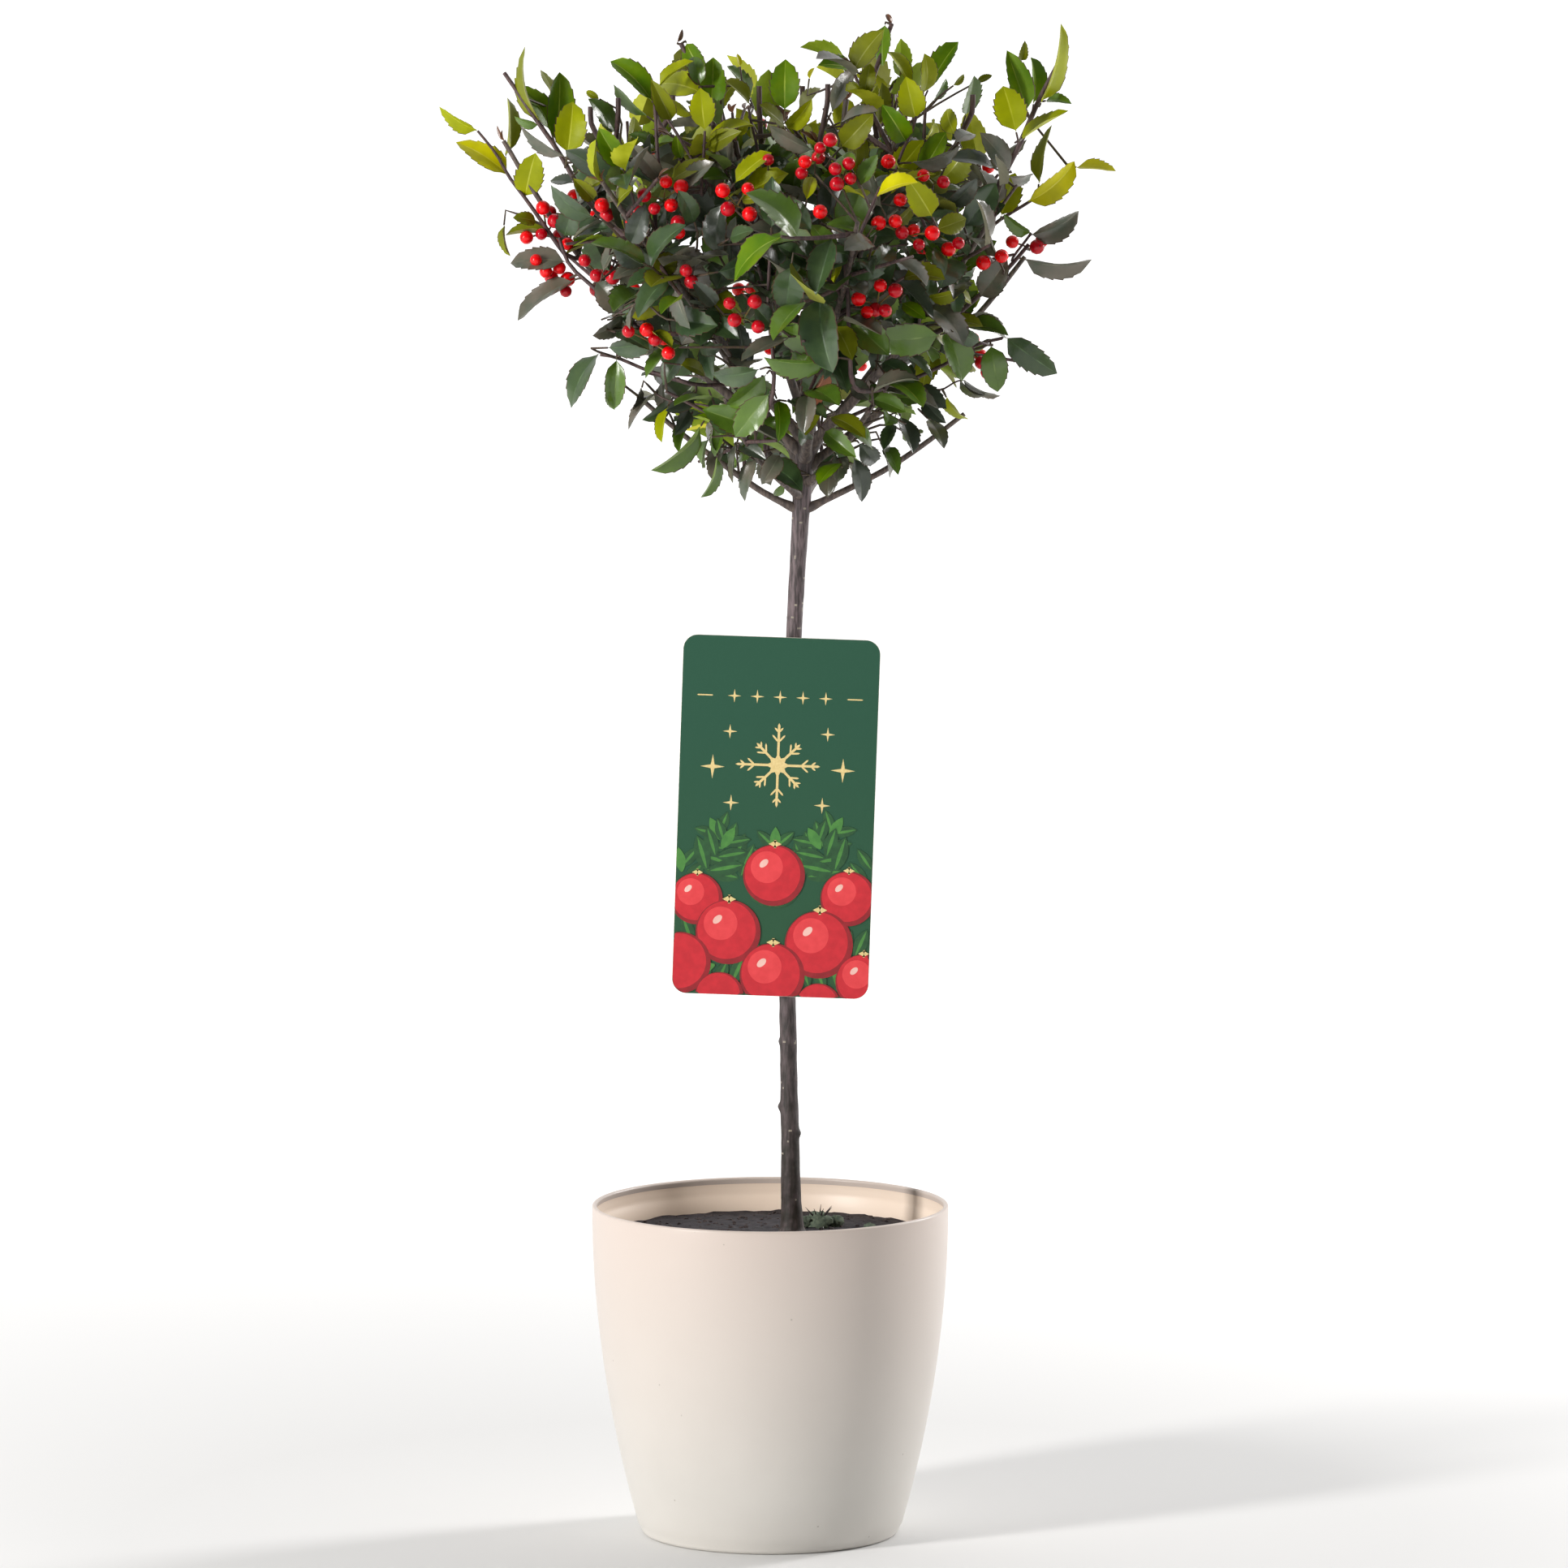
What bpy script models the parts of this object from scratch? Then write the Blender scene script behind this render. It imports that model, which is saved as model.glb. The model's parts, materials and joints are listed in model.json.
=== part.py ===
"""A young standard holly in a round plastic pot, with a picture card looped round its clear stem.

The crown is a shallow bowl of boughs on a bare, slightly leaning trunk. Each bough ends where one mass
of foliage begins. Lengths are in metres, +Z is up, +X is to the right of the card's face, and the origin
is the middle of the pot's flat underside.
"""

import math
import random
from collections import namedtuple

import bmesh
import bpy
import numpy as np

# Gap between pieces that touch, and how near two points of a mesh are made one
GAP = 0.0003
WELD = 0.0000005

# Pot: a round tapering bowl with a rolled rim
POT_HEIGHT = 0.205
POT_RIM_RADIUS = 0.110
POT_TAPER = 0.030
POT_WALL = 0.003
POT_FLOOR = 0.004
POT_FOOT_ROUND = 0.0035
POT_STEPS = 30
POT_INSIDE_ROWS = 5

# Soil: the filling of the pot, flat round the trunk and a little lower at the wall
SOIL_TOP = 0.1877
SOIL_FLAT_RADIUS = 0.020
SOIL_EDGE_DROP = 0.003

# Trunk: height, sideways lean, lean to the back, radius
TRUNK_FOOT = SOIL_TOP + GAP
TRUNK_COURSE = (
    (TRUNK_FOOT, 0.0135, 0.0000, 0.0086),
    (TRUNK_FOOT + 0.0022, 0.0135, 0.0000, 0.0076),
    (0.1980, 0.0133, 0.0000, 0.0067),
    (0.2150, 0.0127, 0.0002, 0.0060),
    (0.2714, 0.0118, 0.0008, 0.0054),
    (0.3340, 0.0105, 0.0014, 0.0051),
    (0.4460, 0.0110, 0.0018, 0.0049),
    (0.5576, 0.0145, 0.0010, 0.0048),
    (0.6060, 0.0171, 0.0002, 0.0050),
    (0.6390, 0.0193, 0.0000, 0.0055),
    (0.6670, 0.0212, 0.0000, 0.0062),
    (0.6900, 0.0225, 0.0000, 0.0058),
    (0.7050, 0.0230, 0.0000, 0.0046),
)

# Card: a thin upright sheet in front of the trunk, on a band glued to its back
CARD_WIDTH = 0.121
CARD_HEIGHT = 0.222
CARD_THICK = 0.0008
CARD_CORNER = 0.009
CARD_MIDDLE = (0.0036, 0.446)
CARD_LEAN = math.radians(2.0)
BAND_HEIGHT = 0.024
BAND_THICK = 0.0010

# Crown: radius of its outline at each height, and how far its middle lies to the right there
CROWN_HEIGHTS = (0.630, 0.650, 0.670, 0.690, 0.700, 0.720, 0.760, 0.800, 0.860, 0.918)
CROWN_RADII = (0.048, 0.075, 0.083, 0.108, 0.126, 0.158, 0.166, 0.180, 0.190, 0.180)
CROWN_MIDDLES = (0.015, 0.012, 0.012, 0.014, 0.018, 0.020, 0.015, 0.011, 0.005, 0.003)

# Boughs grow in rings round the top of the trunk
Ring = namedtuple(
    "Ring",
    "name count first_azimuth height stagger stride elevation lift length reach_left radii"
    " stem_length stem_lift twigs berries droop",
)
RINGS = (
    Ring("skirt", 6, 4, 0.6440, 0.0040, 2, 22, 0.020, 0.030, 0.00, (0.0024, 0.0020),
         0.088, 0.11, 5, 0, 0.45),
    Ring("main", 8, 2, 0.6680, 0.0026, 3, 38, 0.030, 0.100, 0.15, (0.0034, 0.0023),
         0.128, 0.10, 6, 3, 0.02),
    Ring("upright", 4, 42, 0.6900, 0.0020, 2, 60, 0.050, 0.080, 0.00, (0.0030, 0.0022),
         0.114, 0.06, 6, 2, -0.12),
    Ring("leader", 1, 20, 0.7050, 0.0, 1, 87, 0.000, 0.076, 0.00, (0.0042, 0.0023),
         0.098, 0.00, 6, 0, -0.15),
)
LIMB_STEPS = 3
STEM_STEPS = 3
LIMB_SWAY = 0.05
STEM_SWAY = 0.10

# Twigs: three-sided, each a little thinner than what it grows from
SIDES = 3
STEM_RADII = (0.0021, 0.0014)
TWIG_RADII = (0.0015, 0.0012)
TWIG_LENGTH = 0.057
TWIG_SPREAD = math.radians(52)
GOLDEN_ANGLE = math.radians(137.5)

# Long shoots that stand out of the crown: each one's tip. The sides that the photo doesn't show have
# them too, turned by some degrees and lowered.
SHOOT_TIPS = (
    (-0.1714, -0.030, 0.909),
    (-0.1960, -0.010, 0.868),
    (-0.0556, -0.050, 0.919),
    (0.0732, -0.040, 0.928),
    (0.1830, -0.075, 0.914),
    (0.2020, 0.010, 0.845),
    (0.1750, -0.030, 0.795),
    (0.1600, -0.030, 0.728),
    (-0.1480, -0.030, 0.780),
    (-0.1180, -0.030, 0.722),
)
SHOOT_TURNS = ((0, 0.0), (85, 0.008), (265, 0.030))
SHOOT_RADII = (0.0015, 0.0012)
SHOOT_BARE = 0.40
SHOOT_STEP = 0.018
SHOOT_FOOT_STEP = 0.004
SHOOT_TESTS = 4
SHOOT_SPREAD = math.radians(48)
SHOOT_TIP_SPREAD = math.radians(28)
SHOOT_MARGIN = 0.021

# Leaves: stiff ovate blades, keeled along the middle
LEAF_LENGTH = 0.045
LOW_LEAF_SHARE = 0.70
LOW_LEAF_HEIGHTS = (0.64, 0.73)
LEAF_WIDTH_SHARE = 0.56
LEAF_THICK = 0.0015
LEAF_ROOT = 0.0004
LEAF_STEP = 0.0100
TIP_STEP = 0.0026
LEAF_ARCH = 0.04
LEAF_CORNERS = ((0.28, 0.90), (0.64, 0.82))
LEAF_CREST = 0.20
LEAF_TURNS = 6
LEAF_TURN = math.radians(60)
LEAF_ROLL = 0.7
LEAF_APART = 0.0083
LEAF_CLEAR = 0.0016
LIMB_CLEAR = 0.0016
BERRY_RADIUS = 0.0046

SEED = 11
UP = np.array((0.0, 0.0, 1.0))


def clear_scene():
    """Start from an empty scene."""
    for thing in list(bpy.data.objects):
        bpy.data.objects.remove(thing, do_unlink=True)


def new_collection(name):
    """A collection in the scene."""
    made = bpy.data.collections.new(name)
    bpy.context.scene.collection.children.link(made)
    return made


def plain_material(name, colour, roughness):
    """A Principled material from linear colour values and a roughness."""
    made = bpy.data.materials.new(name)
    made.use_nodes = True
    shader = made.node_tree.nodes["Principled BSDF"]
    shader.inputs["Base Color"].default_value = (*colour, 1.0)
    shader.inputs["Roughness"].default_value = roughness
    shader.inputs["Metallic"].default_value = 0.0
    made.diffuse_color = (*colour, 1.0)
    return made


def add_object(name, mesh, collection, material=None):
    """An object for a mesh or curve, in a collection, with a material."""
    thing = bpy.data.objects.new(name, mesh)
    collection.objects.link(thing)
    if material:
        mesh.materials.append(material)
    return thing


def mesh_from(name, points, faces):
    """A mesh from points and faces, with its faces turned outwards."""
    mesh = bpy.data.meshes.new(name)
    mesh.from_pydata([tuple(point) for point in points], [], faces)
    shape = bmesh.new()
    shape.from_mesh(mesh)
    bmesh.ops.recalc_face_normals(shape, faces=shape.faces)
    shape.to_mesh(mesh)
    shape.free()
    return mesh


def evaluated_mesh(thing):
    """The mesh of an object with its modifiers or its bevel applied, and near points welded."""
    bpy.context.view_layer.update()
    graph = bpy.context.evaluated_depsgraph_get()
    mesh = bpy.data.meshes.new_from_object(thing.evaluated_get(graph))
    shape = bmesh.new()
    shape.from_mesh(mesh)
    bmesh.ops.remove_doubles(shape, verts=shape.verts, dist=WELD)
    bmesh.ops.recalc_face_normals(shape, faces=shape.faces)
    shape.to_mesh(mesh)
    shape.free()
    return mesh


def turned_object(name, profile, steps, collection, material):
    """A profile at +X, from the axis up, over and down its outer side, turned round Z."""
    mesh = bpy.data.meshes.new(name)
    edges = [(i, i + 1) for i in range(len(profile) - 1)]
    mesh.from_pydata([(radius, 0.0, height) for radius, height in profile], edges, [])
    thing = add_object(name, mesh, collection, material)
    screw = thing.modifiers.new("Turn", "SCREW")
    screw.axis = "Z"
    screw.angle = math.tau
    screw.steps = steps
    screw.render_steps = steps
    screw.use_merge_vertices = True
    screw.merge_threshold = 0.00001
    screw.use_smooth_shade = True
    return thing


def pot_radius(height):
    """Outer radius of the pot: it narrows with the square of the depth below the rim."""
    depth = (POT_HEIGHT - height) / POT_HEIGHT
    return POT_RIM_RADIUS - POT_TAPER * depth**2


def arc(middle, radius, start, end, count):
    """Points on an arc of a circle, from one angle in degrees to another."""
    angles = np.radians(np.linspace(start, end, count))
    return [(middle[0] + radius * math.cos(a), middle[1] + radius * math.sin(a)) for a in angles]


def inner_wall():
    """Radius and height of the pot's inner wall, from its floor up to the rim."""
    heights = np.linspace(POT_FLOOR, POT_HEIGHT - POT_WALL / 2, POT_INSIDE_ROWS)
    return [(pot_radius(height) - POT_WALL, height) for height in heights]


def build_pot(collection, material):
    """The pot as one open shell: floor, inner wall, round rim, outer wall, rounded foot."""
    rim = POT_WALL / 2
    rim_middle = (POT_RIM_RADIUS - rim, POT_HEIGHT - rim)
    inner = inner_wall()[:-1]
    outer = [(pot_radius(h), h) for h in np.linspace(rim_middle[1], 2 * POT_FOOT_ROUND, 7)[1:]]
    foot_middle = (pot_radius(0) - POT_FOOT_ROUND, POT_FOOT_ROUND)
    profile = [(0.0, POT_FLOOR)]
    profile += inner
    profile += arc(rim_middle, rim, 180, 0, 4)
    profile += outer
    profile += arc(foot_middle, POT_FOOT_ROUND, 0, -90, 3)
    profile += [(0.0, 0.0)]
    return turned_object("pot", profile, POT_STEPS, collection, material)


def build_soil(collection, material):
    """The pot's filling, clear of its wall and floor."""
    radii, heights = zip(*inner_wall())
    rows = [SOIL_TOP - SOIL_EDGE_DROP, *heights[-2:0:-1], POT_FLOOR + GAP]
    profile = [(0.0, SOIL_TOP), (SOIL_FLAT_RADIUS, SOIL_TOP)]
    profile += [(np.interp(height, heights, radii) - GAP, height) for height in rows]
    profile += [(0.0, POT_FLOOR + GAP)]
    return turned_object("soil", profile, POT_STEPS, collection, material)


def limb_object(name, points, radii, collection, material, resolution=1, extra=0.0):
    """A tapering limb: a curve bevelled by the radius of each point, made into a closed mesh."""
    curve = bpy.data.curves.new(name, "CURVE")
    curve.dimensions = "3D"
    curve.bevel_depth = 1.0
    curve.bevel_resolution = resolution
    curve.use_fill_caps = True
    spline = curve.splines.new("POLY")
    spline.points.add(len(points) - 1)
    for spot, point, radius in zip(spline.points, points, radii):
        spot.co = (*point, 1.0)
        spot.radius = radius + extra
    guide = add_object(name + "_course", curve, collection)
    mesh = evaluated_mesh(guide)
    bpy.data.objects.remove(guide, do_unlink=True)
    bpy.data.curves.remove(curve)
    mesh.shade_smooth()
    mesh.set_sharp_from_angle(angle=math.radians(50))
    mesh.name = name
    return add_object(name, mesh, collection, material)


def trunk_at(height):
    """Middle of the trunk at a height."""
    course = np.array(TRUNK_COURSE)
    lean = [np.interp(height, course[:, 0], course[:, column]) for column in (1, 2)]
    return np.array((*lean, height))


def trunk_points():
    """The trunk's middle line and its radii, foot to top."""
    course = np.array(TRUNK_COURSE)
    return course[:, (1, 2, 0)], course[:, 3]


def cut_clear(thing, cutter):
    """Keep a limb clear of the trunk that it grows from."""
    cut = thing.modifiers.new("Clear of trunk", "BOOLEAN")
    cut.operation = "DIFFERENCE"
    cut.object = cutter
    cut.solver = "EXACT"


def rounded_outline(curve, middle, half_width, half_height, corner, count=4):
    """A closed spline round a rectangle with round corners."""
    points = []
    for quarter, (sx, sy) in enumerate(((1, 1), (-1, 1), (-1, -1), (1, -1))):
        centre = (middle[0] + sx * (half_width - corner), middle[1] + sy * (half_height - corner))
        points += arc(centre, corner, 90 * quarter, 90 * quarter + 90, count)
    return closed_spline(curve, points)


def closed_spline(curve, points):
    """A closed straight-sided spline through flat points."""
    spline = curve.splines.new("POLY")
    spline.points.add(len(points) - 1)
    for spot, point in zip(spline.points, points):
        spot.co = (*point, 0.0, 1.0)
    spline.use_cyclic_u = True
    return spline


def flat_curve(name, thick):
    """A flat outline that is filled and given a thickness."""
    curve = bpy.data.curves.new(name, "CURVE")
    curve.dimensions = "2D"
    curve.fill_mode = "BOTH"
    curve.extrude = thick / 2
    return curve


def solid_from_curve(curve, name, collection, material, location, rotation):
    """A closed mesh object from a flat curve that stands at a place and angle."""
    guide = add_object(name + "_outline", curve, collection)
    mesh = evaluated_mesh(guide)
    bpy.data.objects.remove(guide, do_unlink=True)
    mesh.name = name
    thing = add_object(name, mesh, collection, material)
    thing.location = location
    thing.rotation_euler = rotation
    return thing


def card_back():
    """How far forward the card's back face lies: past the trunk, the band and two gaps."""
    trunk = trunk_at(CARD_MIDDLE[1])
    radius = np.interp(CARD_MIDDLE[1], [row[0] for row in TRUNK_COURSE], [row[3] for row in TRUNK_COURSE])
    return trunk[1] - radius - 2 * GAP - BAND_THICK - GAP


def build_card(collection, material):
    """The card, upright in front of the trunk and leaning a little to the right."""
    curve = flat_curve("card", CARD_THICK)
    rounded_outline(curve, (0, 0), CARD_WIDTH / 2, CARD_HEIGHT / 2, CARD_CORNER)
    place = (CARD_MIDDLE[0], card_back() - CARD_THICK / 2, CARD_MIDDLE[1])
    return solid_from_curve(curve, "card", collection, material, place, (math.pi / 2, CARD_LEAN, 0))


def build_band(collection, material):
    """The band behind the card: a D-shaped loop round the trunk with a flat front."""
    trunk = trunk_at(CARD_MIDDLE[1])
    hole = -card_back() + trunk[1] - BAND_THICK - GAP
    outer = hole + BAND_THICK
    curve = flat_curve("card_band", BAND_HEIGHT)
    for radius, front in ((outer, -outer), (hole, -hole)):
        points = arc((0, 0), radius, 0, 180, 11)
        points += [(-radius, front), (radius, front)]
        closed_spline(curve, points)
    return solid_from_curve(curve, "card_band", collection, material, tuple(trunk), (0, 0, 0))


def unit(vector):
    """The vector at length one."""
    return vector / np.linalg.norm(vector)


def heading(azimuth, elevation):
    """Direction from an azimuth and an elevation in degrees."""
    a, e = math.radians(azimuth), math.radians(elevation)
    return np.array((math.cos(e) * math.cos(a), math.cos(e) * math.sin(a), math.sin(e)))


def spun(vector, axis, angle):
    """The vector turned about an axis."""
    flat = np.cross(axis, vector)
    along = axis * np.dot(axis, vector)
    return vector * math.cos(angle) + flat * math.sin(angle) + along * (1 - math.cos(angle))


def grow(start, direction, length, steps, lift, sway, chance):
    """A line that grows from a point, bends upwards by its lift and wavers by its sway."""
    points = [np.array(start)]
    for _ in range(steps):
        waver = np.array([chance.uniform(-1, 1) for _ in range(3)])
        direction = unit(direction + lift * UP + sway * waver)
        points.append(points[-1] + direction * length / steps)
    return np.array(points)


def limb_plan():
    """Each bough's name, points and radii, with the stem of the foliage that its tip carries."""
    plan = []
    for ring in RINGS:
        for index in range(ring.count):
            chance = random.Random(SEED * 1000 + len(plan))
            azimuth = ring.first_azimuth + 360 * index / ring.count + chance.uniform(-5, 5)
            offset = (index * ring.stride) % ring.count - (ring.count - 1) / 2
            start = trunk_at(ring.height + offset * ring.stagger)
            if ring.name == "leader":
                start = start + GAP * UP
            reach = 1 - ring.reach_left * math.cos(math.radians(azimuth))
            size = reach * chance.uniform(0.95, 1.05)
            way = heading(azimuth, ring.elevation + chance.uniform(-2, 2))
            bough = grow(start, way, ring.length * size, LIMB_STEPS, ring.lift, LIMB_SWAY, chance)
            way = unit(bough[-1] - bough[-2])
            root = bough[-1] + way * GAP
            stem = grow(root, way, ring.stem_length * size, STEM_STEPS, ring.stem_lift, STEM_SWAY, chance)
            radii = np.linspace(*ring.radii, LIMB_STEPS + 1)
            label = ring.name if ring.count == 1 else f"{ring.name}_{index + 1}"
            plan.append((label, ring, bough, radii, stem, chance))
    return plan


def nearest(points, starts, ends):
    """Distance of each point from each straight piece, as a table."""
    along = ends - starts
    share = np.einsum("psk,sk->ps", points[:, None] - starts[None], along)
    share = np.clip(share / np.einsum("sk,sk->s", along, along), 0, 1)
    foot = starts[None] + share[..., None] * along[None]
    return np.linalg.norm(points[:, None] - foot, axis=2)


class Space:
    """The room that each mass keeps to: nearer to its own stem than to any other, off every limb,
    and inside the crown's outline."""

    def __init__(self, plan):
        stems = [row[4] for row in plan]
        self.stem_starts = np.concatenate([stem[:-1] for stem in stems])
        self.stem_ends = np.concatenate([stem[1:] for stem in stems])
        self.stem_owner = np.repeat(np.arange(len(stems)), [len(stem) - 1 for stem in stems])
        limbs = [(row[2], row[3]) for row in plan] + [trunk_points()]
        self.limb_starts = np.concatenate([points[:-1] for points, _ in limbs])
        self.limb_ends = np.concatenate([points[1:] for points, _ in limbs])
        self.limb_radii = np.concatenate([np.maximum(radii[:-1], radii[1:]) for _, radii in limbs])

    def owner_of(self, point):
        """Number of the mass whose stem is nearest to a point."""
        away = nearest(point[None], self.stem_starts, self.stem_ends)[0]
        return self.stem_owner[np.argmin(away)]

    def holds(self, points, owner, margin=0.0):
        """Whether all the points lie in the owner's room, or no further past the outline than a margin."""
        middle = np.interp(points[:, 2], CROWN_HEIGHTS, CROWN_MIDDLES)
        reach = np.hypot(points[:, 0] - middle, points[:, 1])
        if (reach > np.interp(points[:, 2], CROWN_HEIGHTS, CROWN_RADII) + margin).any():
            return False
        if points[:, 2].min() < CROWN_HEIGHTS[0] or points[:, 2].max() > CROWN_HEIGHTS[-1] + margin:
            return False
        away = nearest(points, self.stem_starts, self.stem_ends)
        own = away[:, self.stem_owner == owner].min(axis=1)
        other = away[:, self.stem_owner != owner].min(axis=1)
        if (own + LEAF_CLEAR > other).any():
            return False
        off = nearest(points, self.limb_starts, self.limb_ends) - self.limb_radii[None]
        return bool((off > LIMB_CLEAR).all())


def shoot_tips():
    """The tips of all the long shoots, round the crown's middle."""
    middle = np.array((CROWN_MIDDLES[-1], 0.0, 0.0))
    tips = []
    for turn, lower in SHOOT_TURNS:
        for tip in SHOOT_TIPS:
            tips.append(middle + spun(np.array(tip) - middle, UP, math.radians(turn)) - lower * UP)
    return tips


def leaf_frame(direction, place, roll):
    """The blade's face looks up and out of the crown, rolled a little, square to its direction."""
    out = unit(np.array((place[0] - CROWN_MIDDLES[3], place[1], 0.0001)))
    face = 0.75 * UP + 0.65 * out
    face = spun(unit(face - direction * np.dot(face, direction)), direction, roll)
    return face, np.cross(face, direction)


def leaf_spot(leaf, share, across):
    """A point on a leaf's middle surface, by its share of the length and of the half width."""
    root, direction, face, side, length, width = leaf
    drop = LEAF_ARCH * length * share**2
    return root + direction * length * share + side * across * width / 2 - face * drop


def leaf_samples(leaf):
    """A grid of points over a leaf, to test its room."""
    shares = (0.12, 0.28, 0.46, 0.64, 0.82, 1.0)
    widths = (0.5, 0.88, 0.95, 0.80, 0.45, 0.0)
    spots = [
        leaf_spot(leaf, share, width * across)
        for share, width in zip(shares, widths)
        for across in (-1, -0.5, 0, 0.5, 1)
    ]
    return np.array(spots)


def leaf_piece(leaf):
    """A leaf as ten faces: a root, two corners a side and a tip, under a crest near the root."""
    root, direction, face, side, length, width = leaf
    left = [leaf_spot(leaf, share, reach) for share, reach in LEAF_CORNERS]
    right = [leaf_spot(leaf, share, -reach) for share, reach in LEAF_CORNERS]
    crest = leaf_spot(leaf, LEAF_CREST, 0) + face * LEAF_THICK
    points = [root - direction * LEAF_ROOT, *left, leaf_spot(leaf, 1, 0), *right[::-1], crest]
    faces = [(a, (a + 1) % 6, 6) for a in range(6)]
    faces += [(0, 5, 1), (1, 5, 4), (1, 4, 2), (2, 4, 3)]
    return points, faces


def tube_piece(points, radii):
    """A three-sided tapering tube along a line, closed at both ends."""
    rings = []
    last = len(points) - 1
    for index, (point, radius) in enumerate(zip(points, radii)):
        way = unit(points[min(index + 1, last)] - points[max(index - 1, 0)])
        first = unit(np.cross(way, (0.30, 0.95, 0.10)))
        rings += [point + radius * spun(first, way, math.tau * k / SIDES) for k in range(SIDES)]
    faces = [tuple(range(SIDES)), tuple(range(last * SIDES, (last + 1) * SIDES))]
    for index in range(last):
        for k in range(SIDES):
            low = index * SIDES
            other = (k + 1) % SIDES
            faces.append((low + k, low + other, low + SIDES + other, low + SIDES + k))
    return rings, faces


def berry_piece(middle):
    """A berry as a ball of twenty faces."""
    shape = bmesh.new()
    bmesh.ops.create_icosphere(shape, subdivisions=1, radius=BERRY_RADIUS)
    points = [np.array(vertex.co) + middle for vertex in shape.verts]
    faces = [tuple(vertex.index for vertex in face.verts) for face in shape.faces]
    shape.free()
    return points, faces


def line_spots(line, first, step):
    """Points and directions at even steps along a line."""
    lengths = np.linalg.norm(np.diff(line, axis=0), axis=1)
    ends = np.concatenate([[0], np.cumsum(lengths)])
    for distance in np.arange(first, ends[-1] - 3 * TIP_STEP, step):
        piece = min(int(np.searchsorted(ends, distance, side="right")) - 1, len(lengths) - 1)
        way = (line[piece + 1] - line[piece]) / lengths[piece]
        yield line[piece] + way * (distance - ends[piece]), way, distance / ends[-1]


def side_way(way, turn, spread):
    """A direction that leans out from a line by the spread, turned about it."""
    across = unit(np.cross(way, (0.31, 0.11, 0.94)))
    return unit(way * math.cos(spread) + spun(across, way, turn) * math.sin(spread))


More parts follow.
